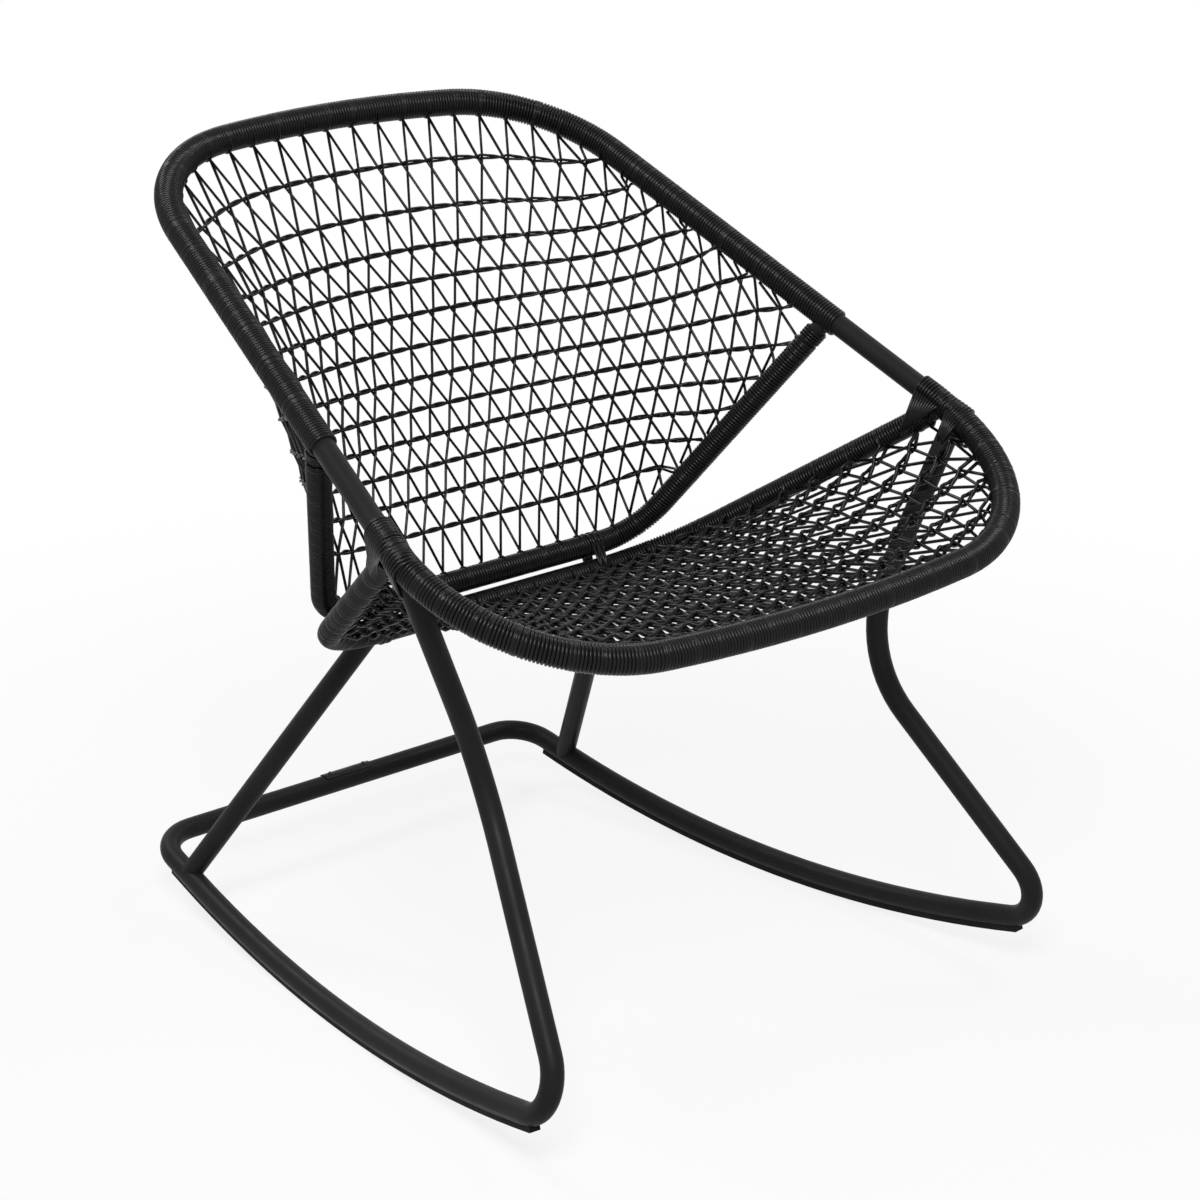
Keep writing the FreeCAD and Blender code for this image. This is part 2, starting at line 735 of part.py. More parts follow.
REAR_LEAN = (REAR_FOOT - REAR_TOP).normalize().x
REAR_HALF_WIDTH = TUBE_RADIUS / math.sqrt(1 - REAR_LEAN**2)
TIE_HALF_WIDTH = size("tie_pitch") * size("tie_loops") / 2 + STRAND_RADIUS
TIE_ACROSS = REAR_TOP.x - REAR_HALF_WIDTH - size("tie_leg_gap") - TIE_HALF_WIDTH
for side, sign in (("right", 1), ("left", -1)):
    edges = tie_edges(sign * TIE_ACROSS)
    as_node(wound_object("tie_%s_strand" % side, edges), "bar_tie_" + side)

# Nets: the back and the seat as flat holed panels that fold round the bucket shape

LEG_LIMIT = FRAME_RADIUS + " + Sizes.web_gap"
LEG_LIMITS = {
    "right": cylinder_object("leg_limit_right", LEG_TOP, KNEE, LEG_LIMIT),
    "left": cylinder_object("leg_limit_left", mirrored(LEG_TOP), mirrored(KNEE), LEG_LIMIT),
}
FOLD_EDGE = -size("fold_gap")
TIE_EXTRA = GAP + size("strand_diameter")
LAST_FOLD_SHARE = 0.3


def axis_route(edges):
    """The axis of a tube as short straight runs."""
    points = []
    for edge in edges:
        points.extend(edge.discretize(Number=13))
    return points


def route_distance(point, route):
    """How far a point lies from a route of straight runs."""
    least = (point - route[0]).Length
    for start, end in zip(route, route[1:]):
        run = end - start
        length = run.dot(run)
        if length > 1e-9:
            share = max(0.0, min(1.0, (point - start).dot(run) / length))
            least = min(least, (start + run * share - point).Length)
    return least


def clear_point(inner, outer, routes, extra):
    """The last point on the way out from a clear point that still clears the wound tubes."""
    low, high = 0.0, 1.0
    for halving in range(24):
        share = (low + high) / 2
        point = inner + (outer - inner) * share
        if all(route_distance(point, route) >= radius + GAP + extra for route, radius in routes):
            low = share
        else:
            high = share
    return inner + (outer - inner) * low


def net_chain(top, corner, radius, rim, rim_route):
    """The apex on the bar, the outline points from the rim to the frame's bend, and the tubes round them."""
    start, middle, end = bend(top, corner, mirrored(corner), radius)
    routes = [(rim_route, RIM_WOUND_RADIUS), (axis_route(frame_edges(top, corner, radius)), WEB_WOUND_RADIUS)]
    return end, rim + [top, start + (top - start) * LAST_FOLD_SHARE], routes


WEBS = {
    "back": net_chain(
        BACK_TOP,
        BACK_CORNER,
        size("back_bend_radius"),
        [RIM_BACK["meet"], RIM_BACK["corner"], RIM_BACK["side"]],
        axis_route(rim_edges(RIM_SEAM, RIM_BACK)),
    ),
    "seat": net_chain(
        SEAT_TOP,
        SEAT_CORNER,
        size("seat_bend_radius"),
        [RIM_FRONT["meet"], RIM_FRONT["two_thirds"], RIM_FRONT["third"]],
        axis_route(rim_edges(0.0, RIM_FRONT)),
    ),
}


def outline_lines(points, pushes):
    """The edge lines of a convex outline, counter-clockwise, each moved outwards by its push."""
    lines = []
    for (ax, ay), (bx, by), push in zip(points, points[1:] + points[:1], pushes):
        length = math.hypot(bx - ax, by - ay)
        nx, ny = (by - ay) / length, (ax - bx) / length
        lines.append((nx, ny, nx * ax + ny * ay + push))
    return lines


def clipped(shape, lines):
    """A convex shape cut to the inner side of each line."""
    for nx, ny, reach in lines:
        result = []
        for start, end in zip(shape, shape[1:] + shape[:1]):
            here = reach - nx * start[0] - ny * start[1]
            there = reach - nx * end[0] - ny * end[1]
            if here >= 0:
                result.append(start)
            if here * there < 0:
                share = here / (here - there)
                result.append(tuple(a + (b - a) * share for a, b in zip(start, end)))
        shape = result
        if len(shape) < 3:
            return []
    return shape


def outline_area(shape):
    """The area of a plane outline."""
    pairs = zip(shape, shape[1:] + shape[:1])
    return abs(sum(a[0] * b[1] - a[1] * b[0] for a, b in pairs)) / 2


def diamond_gaps(outline, lines, pitch, row, strand):
    """Diamond gaps of a net of slanting strands within an outline, cut to its border lines."""
    half = pitch / 2
    shrink = 1 - strand / 2 * math.hypot(half, row) / (half * row)
    xs = [point[0] for point in outline]
    ys = [point[1] for point in outline]
    gaps = []
    for level in range(int(math.floor(min(ys) / row)) - 1, int(math.ceil(max(ys) / row)) + 2):
        for column in range(int(math.floor(min(xs) / pitch)) - 1, int(math.ceil(max(xs) / pitch)) + 2):
            x = (column + (level % 2) / 2) * pitch
            y = level * row
            wide, tall = half * shrink, row * shrink
            gap = clipped([(x + wide, y), (x, y + tall), (x - wide, y), (x, y - tall)], lines)
            if gap and outline_area(gap) > strand * pitch:
                gaps.append(gap)
    return gaps


def panel_object(name, points, pushes, warp):
    """One flat net panel: a holed face with the strand's thickness."""
    origin = points[0]
    normal = (points[1] - origin).cross(points[2] - origin).normalize()
    up = (warp - normal * warp.dot(normal)).normalize()
    across = up.cross(normal)
    flat = [((p - origin).dot(across), (p - origin).dot(up)) for p in points]
    strand = size("strand_diameter")
    border = [push - strand for push in pushes]
    outer = clipped(flat, outline_lines(flat, pushes))
    gaps = diamond_gaps(outer, outline_lines(flat, border), size("mesh_pitch"), size("mesh_row"), strand)
    wires = []
    for shape in [outer] + gaps:
        corners = [origin + across * x + up * y for x, y in shape]
        wires.append(Part.makePolygon(corners + corners[:1]))
    face = doc.addObject("Part::Feature", name + "_face")
    face.Shape = Part.makeFace(wires, "Part::FaceMakerCheese")
    panel = doc.addObject("Part::Extrusion", name)
    panel.Base = face
    panel.DirMode = "Custom"
    panel.Dir = normal
    panel.Solid = True
    panel.setExpression("LengthFwd", "Sizes.strand_diameter / 2")
    panel.setExpression("LengthRev", "Sizes.strand_diameter / 2")
    return panel, len(gaps)


def net_objects(web, leg_panels):
    """The middle and side panels of one web, clear of the wound tubes, the ties and the legs."""
    apex, chain, routes = WEBS[web]
    folds = []
    for point in chain:
        half = (apex + point) / 2
        low = clear_point(half, apex, routes, size("strand_diameter") * 2)
        folds.append((low, clear_point(half, point, routes, STRAND_RADIUS)))
    pushes = [0.0, FOLD_EDGE, 0.0, FOLD_EDGE]
    low = clear_point((apex + chain[0]) / 2, apex, routes, TIE_EXTRA)
    high = folds[0][1]
    outline = [mirrored(low), low, high, mirrored(high)]
    warp = high + mirrored(high) - low - mirrored(low)
    middle, count = panel_object(web + "_net_middle_panel", outline, pushes, warp)
    as_node(middle, web + "_net_middle")
    for side in ("right", "left"):
        panels = []
        for number, (near, far) in enumerate(zip(folds, folds[1:])):
            outline = [near[0], far[0], far[1], near[1]]
            if side == "left":
                outline = [mirrored(far[0]), mirrored(near[0]), mirrored(near[1]), mirrored(far[1])]
            warp = outline[2] + outline[3] - outline[0] - outline[1]
            name = "%s_net_%s_panel_%d" % (web, side, number)
            panel, more = panel_object(name, outline, pushes, warp)
            if number in leg_panels:
                panel = cut_object(name, panel, [LEG_LIMITS[side]])
            panels.append(panel)
            count += more
        group = doc.addObject("Part::Compound", "%s_net_%s_panels" % (web, side))
        group.Links = panels
        as_node(group, "%s_net_%s" % (web, side))
    doc.recompute()
    print("%s net gaps %d" % (web, count))


net_objects("back", ())
net_objects("seat", (2, 3))

# Wefts: rows of strand across the outer face of each net


def row_point(a, b, level_a, level_b, level):
    """The point of a segment at a row's level."""
    return a + (b - a) * ((level - level_a) / (level_b - level_a))


def weft_route(web, normals, level_of, level):
    """The right half of one row, from the middle to short of the rim or the frame."""
    apex, chain, routes = WEBS[web]
    lift = STRAND_RADIUS * 2 + GAP
    points = []
    for number, end in enumerate(chain):
        if level > level_of(end):
            before = chain[number - 1]
            spot = row_point(before, end, level_of(before), level_of(end), level)
            points.append(spot + normals[number] * lift)
            break
        spot = row_point(apex, end, 0.0, level_of(end), level)
        lean = (normals[number] + normals[min(number + 1, len(chain) - 1)]).normalize()
        points.append(spot + lean * (lift / lean.dot(normals[number])))
    points.insert(0, V(0, points[0].y, points[0].z))
    while True:
        finish = clear_point(points[-2], points[-1], routes, STRAND_RADIUS)
        points.pop()
        if (finish - points[-1]).Length > 3 * size("weft_fold_radius"):
            return points[1:] + [finish]


def weft_objects(web, tilt):
    """The rows of one web, bent round its folds."""
    apex, chain, routes = WEBS[web]
    across_rows = V(0, math.sin(math.radians(tilt)), math.cos(math.radians(tilt)))
    bar = V(0, apex.y, apex.z)
    whole = (chain[0] - bar).dot(across_rows)
    inside = V(0, -1, 1)
    normals = [(chain[0] - apex).cross(V(1, 0, 0)).normalize()]
    for near, far in zip(chain, chain[1:]):
        normals.append((near - apex).cross(far - apex).normalize())
    normals = [-n if n.dot(inside) > 0 else n for n in normals]

    def level_of(point):
        return (point - bar).dot(across_rows) / whole

    sweeps = []
    rows = int(round(size("weft_rows")))
    for row in range(1, rows + 1):
        points = weft_route(web, normals, level_of, row / (rows + 1))
        route = [mirrored(point) for point in reversed(points)] + points
        radii = [size("weft_fold_radius")] * (len(route) - 2)
        name = "%s_weft_%d" % (web, row)
        path = path_object(name, bent_edges(route, radii))
        sweeps.append(sweep_object(name, path, "Sizes.strand_diameter / 2"))
    group = doc.addObject("Part::Compound", web + "_weft_rows")
    group.Links = sweeps
    doc.recompute()
    if web == "seat":
        group = cut_object("seat_weft_rows", group, [LEG_LIMITS["right"], LEG_LIMITS["left"]])
    as_node(group, web + "_wefts")


weft_objects("back", size("back_row_tilt"))
weft_objects("seat", size("seat_row_tilt"))

# Checks, then one file for each piece

doc.recompute()
for obj in doc.Objects:
    if "Invalid" in obj.State or "Error" in obj.State:
        raise RuntimeError("%s is in state %s" % (obj.Label, obj.State))
for obj in NODES:
    if obj.Shape.isNull() or not obj.Shape.isValid() or not obj.Shape.Solids:
        raise RuntimeError("%s has no valid solid" % obj.Label)
os.makedirs("parts", exist_ok=True)
for obj in NODES:
    obj.Shape.exportStep("parts/%s.step" % obj.Label)
    print("%s: %d solids, %d mm3" % (obj.Label, len(obj.Shape.Solids), obj.Shape.Volume))
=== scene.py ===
"""Looks of an outdoor rocking chair: bent tube, wound strand and two woven webs over its CAD frame."""

import json
import logging
import math
from dataclasses import dataclass, field
from enum import Enum
from typing import Dict, List, Sequence, Tuple

import bpy
import numpy as np
from mathutils import Matrix, Vector


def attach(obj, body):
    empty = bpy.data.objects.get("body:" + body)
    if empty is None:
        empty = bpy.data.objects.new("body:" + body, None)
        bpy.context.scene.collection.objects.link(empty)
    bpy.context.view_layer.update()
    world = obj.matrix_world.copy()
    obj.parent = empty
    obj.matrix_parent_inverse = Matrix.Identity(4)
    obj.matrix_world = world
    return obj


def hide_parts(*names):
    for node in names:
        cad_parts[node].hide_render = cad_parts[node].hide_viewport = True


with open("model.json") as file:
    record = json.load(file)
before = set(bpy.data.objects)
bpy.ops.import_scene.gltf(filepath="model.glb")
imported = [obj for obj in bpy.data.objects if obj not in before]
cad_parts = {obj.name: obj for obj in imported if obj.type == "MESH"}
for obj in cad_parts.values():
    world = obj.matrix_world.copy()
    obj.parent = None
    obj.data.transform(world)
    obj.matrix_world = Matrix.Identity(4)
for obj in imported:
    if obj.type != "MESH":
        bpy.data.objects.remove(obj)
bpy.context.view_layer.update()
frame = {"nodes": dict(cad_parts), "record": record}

log = logging.getLogger("rocking_chair")
MM = 0.001
SEED = 11

Path = np.ndarray
Mesh = Tuple[np.ndarray, List[Tuple[int, ...]]]
Spot = Tuple[np.ndarray, np.ndarray, float]


def unit(vector: np.ndarray) -> np.ndarray:
    """A vector's direction."""
    return vector / np.linalg.norm(vector)


def mirrored(points: np.ndarray) -> np.ndarray:
    """The same points on the other side of the chair."""
    return points * np.array([-1.0, 1.0, 1.0])


def arc_points(start: np.ndarray, middle: np.ndarray, end: np.ndarray, count: int) -> Path:
    """Points on the circle through three points.

    Args:
        start: First point.
        middle: A point on the way.
        end: Last point.
        count: How many points.

    Returns:
        The points, with both ends.
    """
    a, b = middle - start, end - start
    normal = np.cross(a, b)
    rise = np.cross(normal, a) * b.dot(b) - np.cross(normal, b) * a.dot(a)
    centre = start + rise / (2 * normal.dot(normal))
    x_axis = start - centre
    y_axis = np.cross(unit(normal), x_axis)
    last = end - centre
    turn = math.atan2(last.dot(y_axis), last.dot(x_axis)) % (2 * math.pi)
    angles = np.linspace(0.0, turn, count)[:, None]
    return centre + np.cos(angles) * x_axis + np.sin(angles) * y_axis


def rounded(points: Sequence[np.ndarray], radii: Sequence[float], count: int = 40) -> Path:
    """Straight runs through points, with each inner corner rounded.

    Args:
        points: The corners, with both ends.
        radii: One bend radius for each inner corner.
        count: Points on each bend.

    Returns:
        The line as points.
    """
    line = [points[0][None, :]]
    for index, radius in enumerate(radii, start=1):
        corner = points[index]
        back, ahead = unit(points[index - 1] - corner), unit(points[index + 1] - corner)
        half = math.acos(float(np.clip(back.dot(ahead), -1.0, 1.0))) / 2
        run = radius / math.tan(half)
        bisector = unit(back + ahead)
        middle = corner + bisector * (radius / math.sin(half) - radius)
        line.append(arc_points(corner + back * run, middle, corner + ahead * run, count))
    line.append(points[-1][None, :])
    return np.vstack(line)


class Route:
    """A line through space that can be read at any distance along it."""

    def __init__(self, points: Path, step: float = 2 * MM) -> None:
        """Keeps the line at even steps, with a frame that doesn't twist.

        Args:
            points: The line's points.
            step: Distance between the kept points.
        """
        spans = np.linalg.norm(np.diff(points, axis=0), axis=1)
        keep = np.concatenate([[True], spans > 1e-9])
        points = points[keep]
        travel = np.concatenate([[0.0], np.cumsum(np.linalg.norm(np.diff(points, axis=0), axis=1))])
        self.length: float = float(travel[-1])
        count = max(2, int(round(self.length / step)) + 1)
        self.marks = np.linspace(0.0, self.length, count)
        self.points = np.stack([np.interp(self.marks, travel, points[:, k]) for k in range(3)], axis=1)
        self.tangents = np.gradient(self.points, axis=0)
        self.tangents /= np.linalg.norm(self.tangents, axis=1)[:, None]
        self.normals = steady_normals(self.tangents)

    def read(self, distances: np.ndarray) -> Tuple[np.ndarray, np.ndarray, np.ndarray, np.ndarray]:
        """Points and frames at distances along the line.

        Args:
            distances: Distances from the start.

        Returns:
            Points, tangents, normals and binormals.
        """
        parts = []
        for source in (self.points, self.tangents, self.normals):
            axes = [np.interp(distances, self.marks, source[:, k]) for k in range(3)]
            parts.append(np.stack(axes, axis=-1))
        point, tangent, normal = parts
        tangent = tangent / np.linalg.norm(tangent, axis=-1, keepdims=True)
        normal = normal - tangent * np.sum(normal * tangent, axis=-1, keepdims=True)
        normal = normal / np.linalg.norm(normal, axis=-1, keepdims=True)
        return point, tangent, normal, np.cross(tangent, normal)

    def spot(self, distance: float) -> Tuple[np.ndarray, np.ndarray]:
        """The point and the direction at one distance."""
        point, tangent, _, _ = self.read(np.array([distance]))
        return point[0], tangent[0]


def steady_normals(tangents: np.ndarray) -> np.ndarray:
    """Normals that turn with a line but don't twist round it.

    Args:
        tangents: Unit directions along the line.

    Returns:
        One unit normal for each direction.
    """
    first = tangents[0]
    start = np.eye(3)[int(np.argmin(np.abs(first)))]
    normal = unit(start - first * first.dot(start))
    normals = [normal]
    for tangent in tangents[1:]:
        normal = unit(normal - tangent * tangent.dot(normal))
        normals.append(normal)
    return np.array(normals)


def strand_mesh(paths: Sequence[Path], radius: float, sides: int = 6) -> Mesh:
    """Round strands along lines, closed at both ends.

    Args:
        paths: One line for each strand.
        radius: The strand's radius.
        sides: Sides of the section.

    Returns:
        Vertices and faces.
    """
    angles = np.linspace(0.0, 2 * math.pi, sides, endpoint=False)
    wheel = np.stack([np.cos(angles), np.sin(angles)], axis=1) * radius
    vertices: List[np.ndarray] = []
    faces: List[Tuple[int, ...]] = []
    base = 0
    for path in paths:
        tangents = np.gradient(path, axis=0)
        tangents /= np.linalg.norm(tangents, axis=1)[:, None]
        normals = steady_normals(tangents)
        across = np.cross(tangents, normals)
        spokes = wheel[:, 0, None] * normals[:, None, :] + wheel[:, 1, None] * across[:, None, :]
        rings = path[:, None, :] + spokes
        vertices.append(rings.reshape(-1, 3))
        for ring in range(len(path) - 1):
            low, high = base + ring * sides, base + (ring + 1) * sides
            for k in range(sides):
                after = (k + 1) % sides
                faces.append((low + k, low + after, high + after, high + k))
        faces.append(tuple(base + k for k in reversed(range(sides))))
        last = base + (len(path) - 1) * sides
        faces.append(tuple(last + k for k in range(sides)))
        base += len(path) * sides
    return np.vstack(vertices), faces


def make_piece(name: str, mesh: Mesh, material: bpy.types.Material) -> bpy.types.Object:
    """A mesh object that rides on the chair.

    Args:
        name: The piece's name.
        mesh: Vertices and faces.
        material: Its finish.

    Returns:
        The new object.
    """
    data = bpy.data.meshes.new(name)
    data.from_pydata(mesh[0].tolist(), [], mesh[1])
    data.update()
    data.shade_smooth()
    data.materials.append(material)
    piece = bpy.data.objects.new(name, data)
    bpy.context.scene.collection.objects.link(piece)
    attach(piece, "root")
    log.info("%s: %d faces", name, len(mesh[1]))
    return piece


class Side(Enum):
    """The chair's two sides."""

    RIGHT = 1
    LEFT = -1

    def place(self, points: np.ndarray) -> np.ndarray:
        """Points of the right side, moved to this side."""
        return points if self is Side.RIGHT else mirrored(points)


class RimEnd(Enum):
    """The rim's two ends."""

    BACK = 1
    FRONT = -1


@dataclass(frozen=True)
class ChairPlan:
    """The lines that the chair's tubes follow."""

    tube_radius: float = 11.0 * MM
    web_tube_radius: float = 9.0 * MM
    wound: float = 3.15 * MM
    slope: float = math.radians(24.5)
    arm_height: float = 568.5 * MM
    ahead: float = 4.5 * MM
    half_width: float = 338.0 * MM
    taper: float = math.tan(math.radians(8.5))
    back_reach: float = 576.0 * MM
    back_arc: float = 1120.0 * MM
    back_corner: float = 152.0 * MM
    front_reach: float = 237.0 * MM
    front_arc: float = 1880.0 * MM
    front_corner: float = 176.0 * MM
    back_joint: float = 128.0 * MM
    seat_joint: float = 31.0 * MM
    leg_joint: float = 46.0 * MM
    seat_bar: Tuple[float, float, float] = (222.0 * MM, 111.5 * MM, 347.5 * MM)
    back_bar: Tuple[float, float, float] = (202.0 * MM, 123.77 * MM, 372.11 * MM)
    seat_bend: float = 126.0 * MM
    back_bend: float = 70.0 * MM
    knee: Tuple[float, float, float] = (240.0 * MM, -174.5 * MM, 319.5 * MM)

    @property
    def rim_wound(self) -> float:
        """Radius of the wound rim."""
        return self.tube_radius + self.wound

    @property
    def web_wound(self) -> float:
        """Radius of a wound frame tube."""
        return self.web_tube_radius + self.wound

    def rim_point(self, across: float, reach: float) -> np.ndarray:
        """A point of the rim's sloping plane.

        Args:
            across: Distance from the chair's middle plane.
            reach: Distance up the slope from the rim's datum, near the front end of the bare arm.

        Returns:
            The point.
        """
        middle = (self.front_reach - self.back_reach) / 2 * math.cos(self.slope) - self.ahead
        back = middle + reach * math.cos(self.slope)
        return np.array([across, back, self.arm_height + reach * math.sin(self.slope)])

    def rim_side(self, reach: float) -> np.ndarray:
        """A point on the right straight side of the rim."""
        return self.rim_point(self.half_width - self.taper * reach, reach)

    def rim_line(self, reach: float, end: RimEnd) -> Path:
        """The rim from its right side, round one end, to its left side.

        Args:
            reach: Where both ends lie.
            end: The end that it goes round.

        Returns:
            The line as points.
        """
        sense = float(end.value)
        far, arc, bend = (
            (self.back_reach, self.back_arc, self.back_corner)
            if end is RimEnd.BACK
            else (self.front_reach, self.front_arc, self.front_corner)
        )
        along = unit(np.array([-self.taper, 1.0]))
        inward = np.array([-along[1], along[0]])
        hub = np.array([0.0, sense * (far - arc)])
        base = np.array([self.half_width, 0.0]) + inward * bend - hub
        slide = base.dot(along)
        step = -slide + sense * math.sqrt(slide**2 - base.dot(base) + (arc - bend) ** 2)
        corner = hub + base + along * step
        side_angle = math.atan2(-inward[0], -sense * inward[1])
        meet_angle = math.atan2(corner[0] - hub[0], sense * (corner[1] - hub[1]))

        def on_arc(centre: np.ndarray, radius: float, angle: float) -> np.ndarray:
            """A point of one of the end's arcs."""
            across = centre[0] + radius * math.sin(angle)
            return self.rim_point(across, centre[1] + sense * radius * math.cos(angle))

        half = [self.rim_side(reach)]
        half += [on_arc(corner, bend, angle) for angle in np.linspace(side_angle, meet_angle, 90)]
        half += [on_arc(hub, arc, angle) for angle in np.linspace(meet_angle, 0.0, 60)[1:]]
        right = np.array(half)
        return np.vstack([right, mirrored(right[-2::-1])])

    def frame_line(self, joint: float, bar: Tuple[float, float, float], bend: float) -> Path:
        """One U frame, from the rim's right side to its left side."""
        top, corner = self.rim_side(joint), np.array(bar)
        return rounded([top, corner, mirrored(corner), mirrored(top)], [bend, bend])

    def back_frame(self) -> Path:
        """The back's U frame."""
        return self.frame_line(self.back_joint, self.back_bar, self.back_bend)

    def seat_frame(self) -> Path:
        """The seat's U frame."""
        return self.frame_line(-self.seat_joint, self.seat_bar, self.seat_bend)


PLAN = ChairPlan()


@dataclass(frozen=True)
class Finish:
    """A dark coated or moulded surface with fine variation."""

    name: str
    dark: Tuple[float, float, float]
    light: Tuple[float, float, float]
    rough_low: float
    rough_high: float
    mottle: float
    bump_scale: float
    bump: float
    specular: float = 0.07
    metal: float = 0.0
    scuff: float = 0.0
    noise_span: Tuple[float, float] = (0.3, 0.7)
    ramp_span: Tuple[float, float] = (0.3, 0.72)
    rough_grain: float = 2.3
    scuff_grain: float = 9.0
    bump_depth: float = 0.4 * MM

    def material(self) -> bpy.types.Material:
        """Builds the finish as shader nodes.

        Returns:
            The new material.
        """
        made = bpy.data.materials.new(self.name)
        made.use_nodes = True
        nodes, links = made.node_tree.nodes, made.node_tree.links
        shader = nodes["Principled BSDF"]
        shader.inputs["Metallic"].default_value = self.metal
        shader.inputs["Specular IOR Level"].default_value = self.specular
        place = nodes.new("ShaderNodeTexCoord").outputs["Object"]

        def noise(scale: float, detail: float) -> bpy.types.NodeSocket:
            """A noise pattern at one scale.

            Args:
                scale: Its scale.
                detail: Its levels of detail.

            Returns:
                The pattern's output.
            """
            node = nodes.new("ShaderNodeTexNoise")
            node.inputs["Scale"].default_value = scale
            node.inputs["Detail"].default_value = detail
            links.new(place, node.inputs["Vector"])
            return node.outputs["Fac"]

        def spread(source: bpy.types.NodeSocket, low: float, high: float) -> bpy.types.NodeSocket:
            """A pattern stretched to a range.

            Args:
                source: The pattern.
                low: Where the range starts.
                high: Where it ends.

            Returns:
                The stretched output.
            """
            node = nodes.new("ShaderNodeMapRange")
            node.inputs["From Min"].default_value = self.noise_span[0]
            node.inputs["From Max"].default_value = self.noise_span[1]
            node.inputs["To Min"].default_value = low
            node.inputs["To Max"].default_value = high
            links.new(source, node.inputs["Value"])
            return node.outputs["Result"]

        ramp = nodes.new("ShaderNodeValToRGB")
        ramp.color_ramp.elements[0].position = self.ramp_span[0]
        ramp.color_ramp.elements[0].color = (*self.dark, 1.0)
        ramp.color_ramp.elements[1].position = self.ramp_span[1]
        ramp.color_ramp.elements[1].color = (*self.light, 1.0)
        links.new(noise(self.mottle, 6.0), ramp.inputs["Fac"])
        links.new(ramp.outputs["Color"], shader.inputs["Base Color"])
        rough = spread(noise(self.mottle * self.rough_grain, 4.0), self.rough_low, self.rough_high)
        if self.scuff > 0.0:
            add = nodes.new("ShaderNodeMath")
            add.operation = "ADD"
            links.new(rough, add.inputs[0])
            fine = noise(self.mottle * self.scuff_grain, 8.0)
            links.new(spread(fine, 0.0, self.scuff), add.inputs[1])
            rough = add.outputs["Value"]
        links.new(rough, shader.inputs["Roughness"])
        bump = nodes.new("ShaderNodeBump")
        bump.inputs["Strength"].default_value = self.bump
        bump.inputs["Distance"].default_value = self.bump_depth
        links.new(noise(self.bump_scale, 3.0), bump.inputs["Height"])
        links.new(bump.outputs["Normal"], shader.inputs["Normal"])
        return made


POWDER_COAT = Finish(
    "powder_coat",
    dark=(0.010, 0.010, 0.0103),
    light=(0.014, 0.014, 0.0145),
    rough_low=0.38,
    rough_high=0.5,
    mottle=14.0,
    bump_scale=900.0,
    bump=0.22,
)
RESIN_STRAND = Finish(
    "resin_strand",
    dark=(0.005, 0.005, 0.0051),
    light=(0.009, 0.009, 0.0093),
    rough_low=0.2,
    rough_high=0.28,
    mottle=60.0,
    bump_scale=1400.0,
    bump=0.08,
    specular=0.13,
)
NET_STRAND = Finish(
    "net_strand",
    dark=(0.002, 0.002, 0.0021),
    light=(0.005, 0.005, 0.0052),
    rough_low=0.16,
    rough_high=0.28,
    mottle=80.0,
    bump_scale=1600.0,
    bump=0.15,
    specular=0.14,
)
GLIDE_PLASTIC = Finish(
    "glide_plastic",
    dark=(0.005, 0.005, 0.005),
    light=(0.010, 0.010, 0.010),
    rough_low=0.48,
    rough_high=0.6,
    mottle=30.0,
    bump_scale=700.0,
    bump=0.4,
    scuff=0.12,
)
PLATE_STEEL = Finish(
    "plate_steel",
    dark=(0.010, 0.010, 0.0105),
    light=(0.020, 0.020, 0.021),
    rough_low=0.36,
    rough_high=0.5,
    mottle=40.0,
    bump_scale=800.0,
    bump=0.25,
    metal=0.6,
)
RIVET_STEEL = Finish(
    "rivet_steel",
    dark=(0.02, 0.02, 0.021),
    light=(0.04, 0.04, 0.042),
    rough_low=0.3,
    rough_high=0.42,
    mottle=90.0,
    bump_scale=900.0,
    bump=0.2,
    metal=0.8,
)


@dataclass
class Winding:
    """A close winding of strand round one stretch of tube."""

    name: str
    route: Route
    tube: float
    replaces: str
    thick: float = 3.0 * MM
    fit: float = 0.15 * MM
    pitch: float = 3.4 * MM
    around: int = 20
    start: float = 0.0
    arc: int = 7
    groove: float = 0.2
    swell: float = 0.012
    sway: float = 0.02

    def mesh(self, rng: np.random.Generator) -> Mesh:
        """One strand laid turn by turn, with a round back and a sharp groove on each side.

        Args:
            rng: Source of the small unevenness of the turns.

        Returns:
            Vertices and faces.
        """
        length = self.route.length - 2 * self.start
        turns = int(length / self.pitch) - 1
        pitch = length / (turns + 1)
        count = turns * self.around + 1
        turn = np.arange(count) / self.around
        marks = np.arange(turns + 2)
        swell = np.interp(turn, marks, rng.normal(0.0, self.swell, len(marks)))
        sway = np.interp(turn, marks, rng.normal(0.0, self.sway, len(marks)))
        bow = np.linspace(0.0, math.pi, self.arc)
        along = self.start + pitch * (turn[:, None] + sway[:, None] + 0.5 - 0.5 * np.cos(bow)[None, :])
        along = np.clip(along, self.start, self.start + length)
        rise = self.groove + (1.0 - self.groove) * np.sin(bow)
        radius = self.tube + self.fit + self.thick * rise[None, :] * (1.0 + swell[:, None])
        point, _, normal, across = self.route.read(along)
        angle = (2 * math.pi * turn)[:, None, None]
        grid = point + radius[:, :, None] * (normal * np.cos(angle) + across * np.sin(angle))
        faces: List[Tuple[int, ...]] = []
        for low in range(0, (count - 1) * self.arc, self.arc):
            for k in range(low, low + self.arc - 1):
                faces.append((k, k + 1, k + 1 + self.arc, k + self.arc))
        return grid.reshape(-1, 3), faces

    def build(self, material: bpy.types.Material, rng: np.random.Generator) -> bpy.types.Object:
        """Makes the winding in place of its plain sleeve.

        Args:
            material: The strand's finish.
            rng: Source of the small unevenness of the turns.

        Returns:
            The new object.
        """
        piece = make_piece(self.name, self.mesh(rng), material)
        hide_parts(self.replaces)
        return piece


